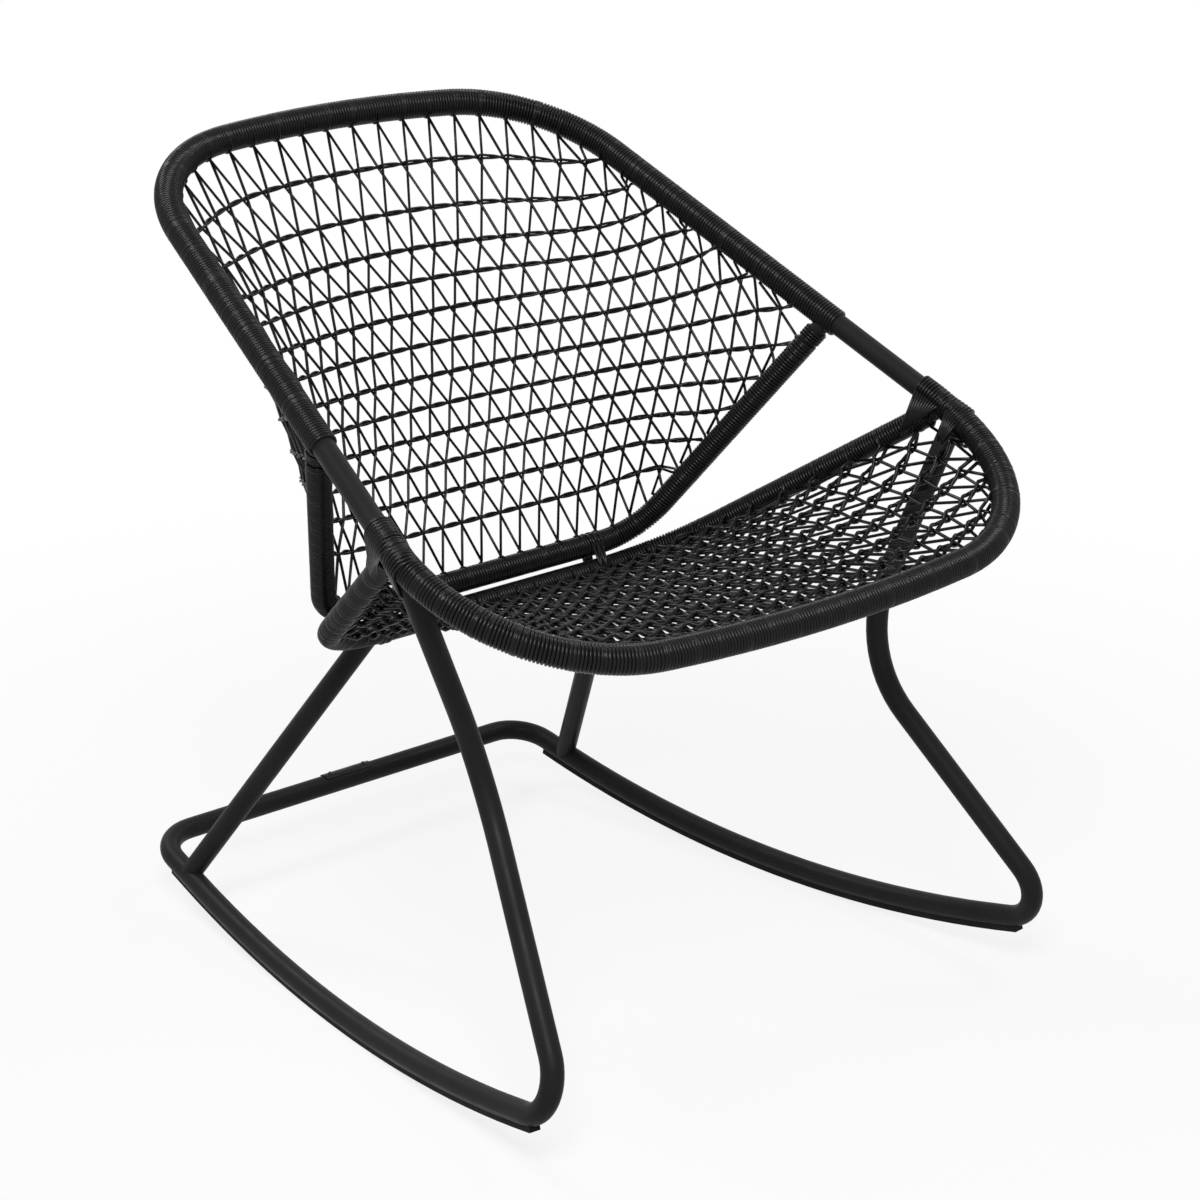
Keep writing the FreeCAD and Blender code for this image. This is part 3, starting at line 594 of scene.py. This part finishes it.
def belt_path(
    first: np.ndarray, second: np.ndarray, out: np.ndarray, near: float, far: float, count: int = 12
) -> Path:
    """A closed loop of strand round two tubes, in the plane of their centres.

    Args:
        first: Centre of the first tube.
        second: Centre of the second tube.
        out: Direction across both, square to the line of centres.
        near: Loop radius at the first tube.
        far: Loop radius at the second tube.
        count: Points on each end.

    Returns:
        The loop's points, ending short of where it starts.
    """
    span = second - first
    distance = float(np.linalg.norm(span))
    along = span / distance
    out = unit(out - along * out.dot(along))
    lean = math.asin((near - far) / distance)
    back = np.linspace(math.pi / 2 - lean, 3 * math.pi / 2 + lean, count)
    ahead = np.linspace(-math.pi / 2 + lean, math.pi / 2 - lean, count)
    ring = [first + near * (math.cos(t) * along + math.sin(t) * out) for t in back]
    ring += [second + far * (math.cos(t) * along + math.sin(t) * out) for t in ahead]
    return np.array(ring)


@dataclass
class Bindings:
    """Lashings at the frame tops, bindings at the arms and ties between the two bars."""

    strand: float = 3.0 * MM
    fit: float = 0.15 * MM
    pitch: float = 3.4 * MM
    steps: int = 20
    loops: int = 4
    back_start: float = 18.6 * MM
    seat_start: float = 23.5 * MM
    arm_loops: int = 10
    arm_rim_start: float = 1.5 * MM
    arm_rim_pitch: float = 3.2 * MM
    arm_frame_start: float = 15.0 * MM
    arm_bulge: float = 0.9 * MM
    rim_bulge: float = 0.6 * MM
    leg_loops: int = 6
    leg_pitch: float = 3.3 * MM
    leg_ahead: float = 2.0 * MM
    leg_drop: float = 20.0 * MM
    leg_fall: float = 0.4
    leg_narrow: float = 0.5
    tie_loops: int = 4
    tie_across: float = 141.0 * MM
    tie_slant: float = 1.4 * MM
    tie_sink: float = 0.3 * MM

    @property
    def rim_loop(self) -> float:
        """Radius of a loop that lies among the rim's turns."""
        return PLAN.rim_wound - self.strand / 2 + self.rim_bulge

    @property
    def rim_heading(self) -> np.ndarray:
        """Direction of the rim's right straight side."""
        return unit(PLAN.rim_side(1.0) - PLAN.rim_side(0.0))

    def helix(self, origin: np.ndarray, axis: np.ndarray, radius: float, loops: float) -> Path:
        """Turns round an axis.

        Args:
            origin: Where the turns start on the axis.
            axis: Unit direction of the axis.
            radius: Radius of the turns.
            loops: How many turns.

        Returns:
            The line as points.
        """
        across = unit(np.cross(axis, np.array([0.0, 0.0, 1.0])))
        other = np.cross(axis, across)
        angle = np.linspace(0.0, 2 * math.pi * loops, int(self.steps * loops) + 1)[:, None]
        climb = angle / (2 * math.pi) * self.pitch
        return origin + radius * (np.cos(angle) * across + np.sin(angle) * other) + climb * axis

    def lashing(self, joint: float, bar: Tuple[float, float, float], start: float) -> Path:
        """Loops round the top of one right frame leg.

        Args:
            joint: Where the leg meets the rim.
            bar: The frame's lower corner.
            start: Distance of the first loop from the rim's axis.

        Returns:
            The line as points.
        """
        top = PLAN.rim_side(joint)
        axis = unit(np.array(bar) - top)
        radius = PLAN.web_tube_radius + self.fit + self.strand / 2
        return self.helix(top + axis * start, axis, radius, self.loops)

    def arm_fan(self) -> List[Path]:
        """Loops that bind the rim to the seat frame's leg in the wedge between them.

        Returns:
            The right side's loops.
        """
        top, corner = PLAN.rim_side(-PLAN.seat_joint), np.array(PLAN.seat_bar)
        leg = unit(corner - top)
        out = np.cross(self.rim_heading, leg)
        loops = []
        for k in range(self.arm_loops):
            first = PLAN.rim_side(-PLAN.seat_joint + self.arm_rim_start + self.arm_rim_pitch * k)
            second = top + leg * (self.arm_frame_start + self.pitch * k)
            loops.append(belt_path(first, second, out, self.rim_loop, PLAN.web_wound + self.arm_bulge))
        return loops

    def leg_fan(self) -> List[Path]:
        """Loops that bind the rim to the top of the front leg.

        Returns:
            The right side's loops.
        """
        top, knee = PLAN.rim_side(-PLAN.leg_joint), np.array(PLAN.knee)
        leg, rim = unit(knee - top), self.rim_heading
        radius = PLAN.tube_radius + self.strand / 2
        loops = []
        for k in range(self.leg_loops):
            shift = (k - (self.leg_loops - 1) / 2) * self.leg_pitch
            first = PLAN.rim_side(-PLAN.leg_joint - self.leg_ahead + shift)
            second = top + leg * (self.leg_drop + abs(shift) * self.leg_fall) + rim * shift * self.leg_narrow
            loops.append(belt_path(first, second, np.cross(rim, leg), self.rim_loop, radius))
        return loops

    def tie(self, across: float) -> List[Path]:
        """Slanting loops round both bars, crossed in pairs.

        Args:
            across: Distance of their middle from the chair's middle plane.

        Returns:
            The loops.
        """
        upper = np.array([0.0, PLAN.back_bar[1], PLAN.back_bar[2]])
        lower = np.array([0.0, PLAN.seat_bar[1], PLAN.seat_bar[2]])
        out = np.cross(np.array([1.0, 0.0, 0.0]), upper - lower)
        radius = PLAN.web_wound - self.tie_sink
        loops = []
        for k in range(self.tie_loops):
            x = across + (k - (self.tie_loops - 1) / 2) * self.pitch
            slant = np.array([self.tie_slant * (1 if k % 2 else -1), 0.0, 0.0])
            shift = np.array([x, 0.0, 0.0])
            loops.append(belt_path(upper + shift + slant, lower + shift - slant, out, radius, radius))
        return loops

    def build(self, material: bpy.types.Material) -> None:
        """Makes each binding on both sides.

        Args:
            material: The strand's finish.
        """

        def bound(name: str, paths: Sequence[Path]) -> bpy.types.Object:
            """One piece of strand along lines."""
            return make_piece(name, strand_mesh(paths, self.strand / 2, 8), material)

        for side in Side:
            tag = side.name.lower()
            for web, joint, bar, start in (
                ("back", PLAN.back_joint, PLAN.back_bar, self.back_start),
                ("seat", -PLAN.seat_joint, PLAN.seat_bar, self.seat_start),
            ):
                piece = bound(f"{web}_lashing_loops_{tag}", [side.place(self.lashing(joint, bar, start))])
                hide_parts(f"{web}_lashing_{tag}")
            fan = [closed(side.place(loop)) for loop in self.arm_fan() + self.leg_fan()]
            bound(f"arm_binding_{tag}", fan)
            ties = [closed(loop) for loop in self.tie(side.value * self.tie_across)]
            piece = bound(f"bar_tie_loops_{tag}", ties)
            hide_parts(f"bar_tie_{tag}")


def closed(loop: Path) -> Path:
    """A loop that ends where it starts."""
    return np.vstack([loop, loop[:1]])


@dataclass
class Web:
    """One woven web: slanting strands hung on the tubes, held by twined rows.

    The right edge is marked from where the frame meets the rim: minus down the frame's leg, plus along
    the rim. The rows' ends are such marks, first_end is where the loops on the bar begin and last_end
    where the loops on the rim's end begin. Gaps are the rows' distances, as shares of an even one.
    """

    name: str
    rim: Route
    frame: Route
    row_ends: Tuple[float, ...]
    last_end: float
    first_end: float
    middle_half: float
    bar_pitch: float = 25.0 * MM
    end_pitch: float = 32.0 * MM
    gaps: Tuple[float, ...] = (1.0,) * 13
    strand: float = 3.1 * MM
    weft_strand: float = 3.0 * MM
    weft_pull: float = 0.85
    sink: float = 0.52
    cross_gap: float = 2.0 * MM
    face: float = 1.0
    edge_margin: float = 0.3
    edge_share: Tuple[float, float] = (0.12, 0.88)
    warp_turns: float = 0.86
    weft_turns: float = 0.9
    wrap_steps: int = 20
    wrap_climb: float = 1.15
    wrap_lifts: Tuple[float, ...] = (0.9, 0.5, 0.2)
    weft_apart: float = 0.6
    twine_steps: int = 8
    twine_slack: float = 0.5
    twine_grip: float = 0.75
    twine_side: float = 0.46
    nodes: Dict[Tuple[int, int], np.ndarray] = field(default_factory=dict)
    normals: Dict[Tuple[int, int], np.ndarray] = field(default_factory=dict)

    @property
    def rows(self) -> int:
        """Number of twined rows."""
        return len(self.row_ends)

    def edge_spot(self, level: float) -> Spot:
        """The right edge of the web at a level.

        Args:
            level: From 0 at the bar to rows + 1 at the rim's end.

        Returns:
            The tube's axis point, its direction and its wound radius.
        """
        marks = [self.first_end, *self.row_ends, self.last_end]
        place = float(np.interp(level, np.arange(len(marks)), marks))
        if place < 0.0:
            point, heading = self.frame.spot(-place)
            return point, heading, PLAN.web_wound
        point, heading = self.rim.spot(place)
        return point, heading, PLAN.rim_wound

    def centre(self, level: float) -> np.ndarray:
        """The web's middle line at a level, before it is pulled tight.

        Args:
            level: From 0 at the bar to rows + 1 at the rim's end.

        Returns:
            A point of the chair's middle plane.
        """
        bar = self.frame.spot(self.frame.length / 2)[0]
        end = self.rim.spot(self.rim.length / 2)[0]
        return bar + (end - bar) * (level / (self.rows + 1))

    def half_count(self, level: float) -> float:
        """Half the width of the web at a level.

        Args:
            level: From 0 at the bar to rows + 1 at the rim's end.

        Returns:
            The half width, in strand pitches.
        """
        spread = (level / (self.rows + 1)) ** 2
        pitch = self.bar_pitch + (self.end_pitch - self.bar_pitch) * spread
        if level <= 0.0:
            return self.bar_half / pitch
        if level >= self.rows + 1:
            return self.rim_half / pitch
        edge = self.edge_spot(level)[0]
        fold = self.centre(level) + np.array([min(self.middle_half, edge[0]), 0.0, 0.0])
        return (fold[0] + float(np.linalg.norm(edge - fold))) / pitch

    @property
    def bar_half(self) -> float:
        """Half of the frame's stretch that carries loops."""
        return self.frame.length / 2 + self.first_end

    @property
    def rim_half(self) -> float:
        """Half of the rim's stretch that carries loops."""
        return self.rim.length / 2 - self.last_end

    def bar_spot(self, column: float) -> Spot:
        """A loop's place on the frame's bar.

        Args:
            column: The loop's column, in strand pitches.

        Returns:
            The tube's axis point, its direction and its wound radius.
        """
        share = column / self.half_count(0.0)
        point, heading = self.frame.spot(self.frame.length / 2 - share * self.bar_half)
        return point, heading, PLAN.web_wound

    def rim_spot(self, column: float) -> Spot:
        """A loop's place on the rim's end.

        Args:
            column: The loop's column, in strand pitches.

        Returns:
            The tube's axis point, its direction and its wound radius.
        """
        share = column / self.half_count(self.rows + 1.0)
        point, heading = self.rim.spot(self.rim.length / 2 - share * self.rim_half)
        return point, heading, PLAN.rim_wound

    def columns(self, row: int) -> List[int]:
        """Columns of a row's crossings.

        Args:
            row: The row, from 1.

        Returns:
            The columns, in half pitches.
        """
        limit = self.half_count(row) - self.edge_margin
        odd = row % 2
        return [k for k in range(-int(2 * limit), int(2 * limit) + 1) if k % 2 == odd]

    def anchor(self, row: int, column: int, up: int, aside: int) -> Spot:
        """Where a strand that leaves the web meets a tube.

        Args:
            row: The row it leaves from.
            column: Its crossing there, in half pitches.
            up: 1 towards the rim's end, -1 towards the bar.
            aside: 1 to the right, -1 to the left.

        Returns:
            The tube's axis point, its direction and its wound radius.
        """
        sign = 1.0 if column + aside * 0.5 > 0 else -1.0
        here = abs(column) / 2
        there = abs(column + aside) / 2
        other = row + up
        if other == 0 and there <= self.half_count(0.0):
            spot = self.bar_spot(there)
        elif other == self.rows + 1 and there <= self.half_count(float(other)):
            spot = self.rim_spot(there)
        else:
            wide, narrow = self.half_count(row), self.half_count(other)
            slip = (narrow - wide) - (there - here)
            share = (here - wide) / slip if abs(slip) > 1e-6 else 0.5
            spot = self.edge_spot(row + up * float(np.clip(share, *self.edge_share)))
        point, heading, radius = spot
        if sign < 0:
            return mirrored(point), mirrored(heading), radius
        return point, heading, radius

    def settle(self) -> None:
        """Finds the crossings of the web pulled tight between its tubes."""
        keys = [(row, column) for row in range(1, self.rows + 1) for column in self.columns(row)]
        order = {key: number for number, key in enumerate(keys)}
        stiff = np.zeros((len(keys), len(keys)))
        load = np.zeros((len(keys), 3))
        for (row, column), number in order.items():
            for up in (1, -1):
                pull = 1.0 / self.gaps[row if up > 0 else row - 1]
                for aside in (1, -1):
                    other = order.get((row + up, column + aside))
                    stiff[number, number] += pull
                    if other is None:
                        load[number] += pull * self.anchor(row, column, up, aside)[0]
                    else:
                        stiff[number, other] -= pull
            for aside in (2, -2):
                other = order.get((row, column + aside))
                pull = self.weft_pull
                if other is None:
                    end = self.edge_spot(row)[0]
                    load[number] += pull * (end if aside > 0 else mirrored(end))
                else:
                    stiff[number, other] -= pull
                stiff[number, number] += pull
        places = np.linalg.solve(stiff, load)
        self.nodes = {key: places[number] for key, number in order.items()}
        for row, column in keys:
            side = self.neighbour(row, column, 0, 2) - self.neighbour(row, column, 0, -2)
            rise = self.neighbour(row, column, 1, 1) + self.neighbour(row, column, 1, -1)
            rise = rise - self.neighbour(row, column, -1, 1) - self.neighbour(row, column, -1, -1)
            self.normals[(row, column)] = unit(np.cross(side, rise)) * self.face

    def neighbour(self, row: int, column: int, up: int, aside: int) -> np.ndarray:
        """The next crossing in a direction, or the tube there.

        Args:
            row: The row to start from.
            column: The crossing there, in half pitches.
            up: Rows to go towards the rim's end.
            aside: Half pitches to go to the right.

        Returns:
            A point of the web or of a tube's axis.
        """
        found = self.nodes.get((row + up, column + aside))
        if found is not None:
            return found
        if up == 0:
            end = self.edge_spot(row)[0]
            return end if aside > 0 else mirrored(end)
        return self.anchor(row, column, up, aside)[0]

    def wrap(self, start: np.ndarray, spot: Spot, over: float, turns: float) -> Path:
        """The line of a strand that winds round a tube.

        Args:
            start: What the strand's first point on the tube faces.
            spot: The tube's axis point, its direction and its wound radius.
            over: 1 or -1, the side of the tube that it passes first.
            turns: How far it goes round.

        Returns:
            Points from the first touch to the end.
        """
        centre, heading, wound = spot
        radius = wound - self.strand * self.sink
        away = start - centre
        x_axis = unit(away - heading * away.dot(heading))
        y_axis = np.cross(heading, x_axis) * over
        angle = np.linspace(0.0, 2 * math.pi * turns, int(self.wrap_steps * turns) + 2)[:, None]
        lift = np.zeros_like(angle)
        lift[: len(self.wrap_lifts), 0] = self.wrap_lifts
        climb = np.linspace(0.0, self.strand * self.wrap_climb * turns, len(angle))[:, None] * over
        reach = radius + lift * self.strand
        return centre + reach * (np.cos(angle) * x_axis + np.sin(angle) * y_axis) + climb * heading

    def facing(self, row: int, column: int, up: int, aside: int) -> np.ndarray:
        """What a loop faces: the middle of the two crossings that it holds.

        Args:
            row: The row that the strand leaves from.
            column: Its crossing there, in half pitches.
            up: 1 towards the rim's end, -1 towards the bar.
            aside: 1 to the right, -1 to the left.

        Returns:
            A point of the web.
        """
        here = self.nodes[(row, column)]
        other = self.nodes.get((row, column + 2 * aside))
        if other is None or row + up not in (0, self.rows + 1):
            return here
        return (here + other) / 2

    def warp_paths(self) -> List[Path]:
        """Every slanting strand, from tube to tube.

        Returns:
            One line for each strand.
        """
        paths = []
        for aside in (1, -1):
            over = float(aside)
            for row, column in self.nodes:
                if (row - 1, column - aside) in self.nodes:
                    continue
                chain = [(row, column)]
                while (chain[-1][0] + 1, chain[-1][1] + aside) in self.nodes:
                    chain.append((chain[-1][0] + 1, chain[-1][1] + aside))
                line = []
                for key in chain:
                    lift = self.strand * 0.5 * (1 if (key[0] % 2) == (aside > 0) else -1)
                    side = unit(self.neighbour(*key, 0, 2) - self.neighbour(*key, 0, -2))
                    line.append(self.nodes[key] + self.normals[key] * lift + side * self.cross_gap * aside)
                last = chain[-1]
                face = self.facing(row, column, -1, -aside)
                first = self.wrap(face, self.anchor(row, column, -1, -aside), over, self.warp_turns)[::-1]
                face = self.facing(*last, 1, aside)
                end = self.wrap(face, self.anchor(*last, 1, aside), over, self.warp_turns)
                paths.append(np.vstack([first, np.array(line), end]))
        return paths

    def twined(self, row: int, twist: float) -> Path:
        """One of the two strands that twine along a row, between its end crossings.

        Args:
            row: The row, from 1.
            twist: Where the strand starts on its way round the row.

        Returns:
            The line as points.
        """
        columns = self.columns(row)
        centre = [self.nodes[(row, c)] for c in columns]
        normal = [self.normals[(row, c)] for c in columns]
        line: List[np.ndarray] = []
        for number in range(len(columns) - 1):
            a, b = centre[number], centre[number + 1]
            rise = unit(np.cross(unit(normal[number]), b - a))
            for k in range(self.twine_steps):
                share = k / self.twine_steps
                angle = twist + math.pi * (number + share)
                out = unit(normal[number] * (1 - share) + normal[number + 1] * share)
                grip = self.twine_slack + self.twine_grip * math.cos(math.pi * share) ** 4
                swing = grip * math.cos(angle) * out + self.twine_side * math.sin(angle) * rise
                line.append(a + (b - a) * share + self.weft_strand * swing)
        grip = (self.twine_slack + self.twine_grip) * math.cos(twist + math.pi * (len(columns) - 1))
        line.append(centre[-1] + normal[-1] * self.weft_strand * grip)
        return np.array(line)

    def weft_paths(self) -> List[Path]:
        """Both twined strands of every row, with a turn round a tube at each end.

        Returns:
            One line for each strand.
        """
        paths = []
        for row in range(1, self.rows + 1):
            point, heading, radius = self.edge_spot(row)
            for twist, over in ((0.0, 1.0), (math.pi, -1.0)):
                line = self.twined(row, twist)
                place = point + heading * self.strand * over * self.weft_apart
                right = self.wrap(line[-1], (place, heading, radius), over, self.weft_turns)
                left = self.wrap(line[0], (mirrored(place), mirrored(heading), radius), over, self.weft_turns)
                paths.append(np.vstack([left[::-1], line, right]))
        return paths

    def build(self, material: bpy.types.Material) -> None:
        """Makes the strands and the rows in place of the plain panels.

        Args:
            material: The strand's finish.
        """
        self.settle()
        mesh = strand_mesh(self.warp_paths(), self.strand / 2)
        warp = make_piece(f"{self.name}_strands", mesh, material)
        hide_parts(f"{self.name}_net_middle", f"{self.name}_net_right", f"{self.name}_net_left")
        mesh = strand_mesh(self.weft_paths(), self.weft_strand / 2)
        weft = make_piece(f"{self.name}_rows", mesh, material)
        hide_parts(f"{self.name}_wefts")


def back_web() -> Web:
    """The back's web, with the rows' ends along the rim and the frame's leg.

    Returns:
        The web, not yet built.
    """
    ends = (-239, -193, -145, -101, -51, 44, 102, 153, 190, 234, 278, 320)
    gaps = (60, 36, 31, 31, 30, 32, 33, 34, 34, 34, 40, 50, 60)
    even_gap = 38
    return Web(
        "back",
        rim=Route(PLAN.rim_line(PLAN.back_joint, RimEnd.BACK)),
        frame=Route(PLAN.back_frame()),
        row_ends=tuple(end * MM for end in ends),
        last_end=375 * MM,
        first_end=-300 * MM,
        middle_half=150 * MM,
        gaps=tuple(gap / even_gap for gap in gaps),
        face=-1.0,
    )


def seat_web() -> Web:
    """The seat's web, with the rows' ends along the frame's leg and the rim's front corner.

    Returns:
        The web, not yet built.
    """
    ends = (-322, -282, -242, -200, -159, -118, -78, -36, 48, 84, 118, 155)
    return Web(
        "seat",
        rim=Route(PLAN.rim_line(-PLAN.seat_joint, RimEnd.FRONT)),
        frame=Route(PLAN.seat_frame()),
        row_ends=tuple(end * MM for end in ends),
        last_end=190 * MM,
        first_end=-360 * MM,
        middle_half=170 * MM,
        end_pitch=29.0 * MM,
        strand=3.5 * MM,
        weft_strand=4.1 * MM,
        cross_gap=1.2 * MM,
    )


@dataclass(frozen=True)
class Lamp:
    """A soft square lamp that faces the chair."""

    name: str
    place: Tuple[float, float, float]
    size: float
    watts: float
    aim: Tuple[float, float, float] = (0.0, 0.0, 0.4)

    def build(self) -> None:
        """Hangs the lamp."""
        data = bpy.data.lights.new(self.name, "AREA")
        data.shape = "SQUARE"
        data.size = self.size
        data.energy = self.watts
        lamp = bpy.data.objects.new(self.name, data)
        bpy.context.scene.collection.objects.link(lamp)
        aim = Vector(self.aim) - Vector(self.place)
        lamp.rotation_euler = aim.to_track_quat("-Z", "Y").to_euler()
        lamp.location = self.place


@dataclass
class Studio:
    """Camera, floor and soft light."""

    azimuth: float = math.radians(-40.169)
    elevation: float = math.radians(20.211)
    distance: float = 3172.8 * MM
    lens: float = 97.11
    target: Tuple[float, float, float] = (0.4 * MM, -58.2 * MM, 394.6 * MM)
    floor_half: float = 12.0
    floor_tone: float = 0.72
    floor_rough: float = 0.9
    glow_near: float = 0.84
    glow_span: Tuple[float, float] = (0.5, 1.6)
    surround: float = 0.12
    lamps: Tuple[Lamp, ...] = (
        Lamp("key_lamp", (-1.5, -1.7, 2.6), 1.1, 96.0),
        Lamp("side_lamp", (2.2, -0.5, 2.8), 1.0, 26.0),
        Lamp("rear_lamp", (-0.6, 2.4, 2.6), 0.9, 40.0),
    )

    def camera(self) -> None:
        """Sets the camera at the photograph's viewing angle."""
        data = bpy.data.cameras.new("camera")
        data.lens = self.lens
        data.sensor_width = 36.0
        data.clip_end = 50.0
        camera = bpy.data.objects.new("camera", data)
        bpy.context.scene.collection.objects.link(camera)
        back = Vector(
            (
                math.sin(self.azimuth) * math.cos(self.elevation),
                -math.cos(self.azimuth) * math.cos(self.elevation),
                math.sin(self.elevation),
            )
        )
        right = Vector((math.cos(self.azimuth), math.sin(self.azimuth), 0.0))
        rows = Matrix((right, back.cross(right), back)).transposed().to_4x4()
        camera.matrix_world = Matrix.Translation(Vector(self.target) + back * self.distance) @ rows
        bpy.context.scene.camera = camera

    def seen(self, tree: bpy.types.NodeTree) -> bpy.types.NodeSocket:
        """One for a ray that shows the background, direct, mirrored or through glass.

        Args:
            tree: The nodes to add the test to.

        Returns:
            The test's output.
        """
        path = tree.nodes.new("ShaderNodeLightPath")
        found = path.outputs["Is Camera Ray"]
        for kind in ("Is Glossy Ray", "Is Transmission Ray"):
            most = tree.nodes.new("ShaderNodeMath")
            most.operation = "MAXIMUM"
            tree.links.new(found, most.inputs[0])
            tree.links.new(path.outputs[kind], most.inputs[1])
            found = most.outputs["Value"]
        return found

    def floor(self) -> None:
        """A pale floor that keeps the chair's shadow and shows as white."""
        data = bpy.data.meshes.new("floor")
        half = self.floor_half
        corners = [(-half, -half, 0.0), (half, -half, 0.0), (half, half, 0.0), (-half, half, 0.0)]
        data.from_pydata(corners, [], [(0, 1, 2, 3)])
        floor = bpy.data.objects.new("floor", data)
        bpy.context.scene.collection.objects.link(floor)
        made = bpy.data.materials.new("pale_floor")
        made.use_nodes = True
        nodes, links = made.node_tree.nodes, made.node_tree.links
        shader = nodes["Principled BSDF"]
        shader.inputs["Base Color"].default_value = (self.floor_tone, self.floor_tone, self.floor_tone, 1.0)
        shader.inputs["Roughness"].default_value = self.floor_rough
        glow = nodes.new("ShaderNodeEmission")
        far = nodes.new("ShaderNodeVectorMath")
        far.operation = "LENGTH"
        links.new(nodes.new("ShaderNodeTexCoord").outputs["Object"], far.inputs[0])
        fade = nodes.new("ShaderNodeMapRange")
        fade.interpolation_type = "SMOOTHSTEP"
        fade.inputs["From Min"].default_value = self.glow_span[0]
        fade.inputs["From Max"].default_value = self.glow_span[1]
        fade.inputs["To Min"].default_value = self.glow_near
        fade.inputs["To Max"].default_value = 1.0
        links.new(far.outputs["Value"], fade.inputs["Value"])
        part = nodes.new("ShaderNodeMath")
        part.operation = "MULTIPLY"
        links.new(self.seen(made.node_tree), part.inputs[0])
        links.new(fade.outputs["Result"], part.inputs[1])
        mix = nodes.new("ShaderNodeMixShader")
        links.new(part.outputs["Value"], mix.inputs["Fac"])
        links.new(shader.outputs["BSDF"], mix.inputs[1])
        links.new(glow.outputs["Emission"], mix.inputs[2])
        links.new(mix.outputs["Shader"], nodes["Material Output"].inputs["Surface"])
        data.materials.append(made)

    def world(self) -> None:
        """An even pale surround, white to the camera."""
        world = bpy.data.worlds.new("studio")
        bpy.context.scene.world = world
        world.use_nodes = True
        nodes, links = world.node_tree.nodes, world.node_tree.links
        even = nodes["Background"]
        even.inputs["Color"].default_value = (1.0, 1.0, 1.0, 1.0)
        even.inputs["Strength"].default_value = self.surround
        white = nodes.new("ShaderNodeBackground")
        white.inputs["Color"].default_value = (1.0, 1.0, 1.0, 1.0)
        mix = nodes.new("ShaderNodeMixShader")
        links.new(self.seen(world.node_tree), mix.inputs["Fac"])
        links.new(even.outputs["Background"], mix.inputs[1])
        links.new(white.outputs["Background"], mix.inputs[2])
        links.new(mix.outputs["Shader"], nodes["World Output"].inputs["Surface"])

    def build(self) -> None:
        """Sets up the whole studio."""
        bpy.context.scene.view_settings.view_transform = "Standard"
        self.camera()
        self.floor()
        self.world()
        for lamp in self.lamps:
            lamp.build()


@dataclass
class BareFrame:
    """The CAD tubes, strips and fasteners that stay in view."""

    coats: Dict[str, Finish] = field(
        default_factory=lambda: {
            "frame_paint": POWDER_COAT,
            "glide_plastic": GLIDE_PLASTIC,
            "plate_metal": PLATE_STEEL,
            "rivet_metal": RIVET_STEEL,
            "strand": RESIN_STRAND,
        }
    )

    def dress(self) -> None:
        """Gives every CAD node its finish."""
        made = {slot: finish.material() for slot, finish in self.coats.items()}
        for row in frame["record"]["subparts"]:
            node = frame["nodes"][row["node"]]
            node.data.materials.clear()
            node.data.materials.append(made[row["material_slot"]])
            log.info("%s: %s", row["node"], row["material_slot"])


def windings() -> List[Winding]:
    """The four close windings, from where each one starts.

    Returns:
        The windings, not yet built.
    """
    rim, web = PLAN.tube_radius, PLAN.web_tube_radius
    rim_back = Route(PLAN.rim_line(113.6 * MM, RimEnd.BACK))
    rim_front = Route(PLAN.rim_line(0.0, RimEnd.FRONT))
    back, seat = Route(PLAN.back_frame()), Route(PLAN.seat_frame())
    return [
        Winding("rim_back_turns", rim_back, rim, "rim_back_winding"),
        Winding("rim_front_turns", rim_front, rim, "rim_front_winding"),
        Winding("back_frame_turns", back, web, "back_frame_winding", start=33.0 * MM),
        Winding("seat_frame_turns", seat, web, "seat_frame_winding", start=38.0 * MM),
    ]


def main() -> None:
    """Builds the chair's pieces in order."""
    logging.basicConfig(level=logging.INFO, format="%(message)s")
    rng = np.random.default_rng(SEED)
    BareFrame().dress()
    strand = RESIN_STRAND.material()
    net = NET_STRAND.material()
    for winding in windings():
        winding.build(strand, rng)
    Bindings().build(strand)
    for web in (back_web(), seat_web()):
        web.build(net)
    Studio().build()


if __name__ == "__main__":
    main()
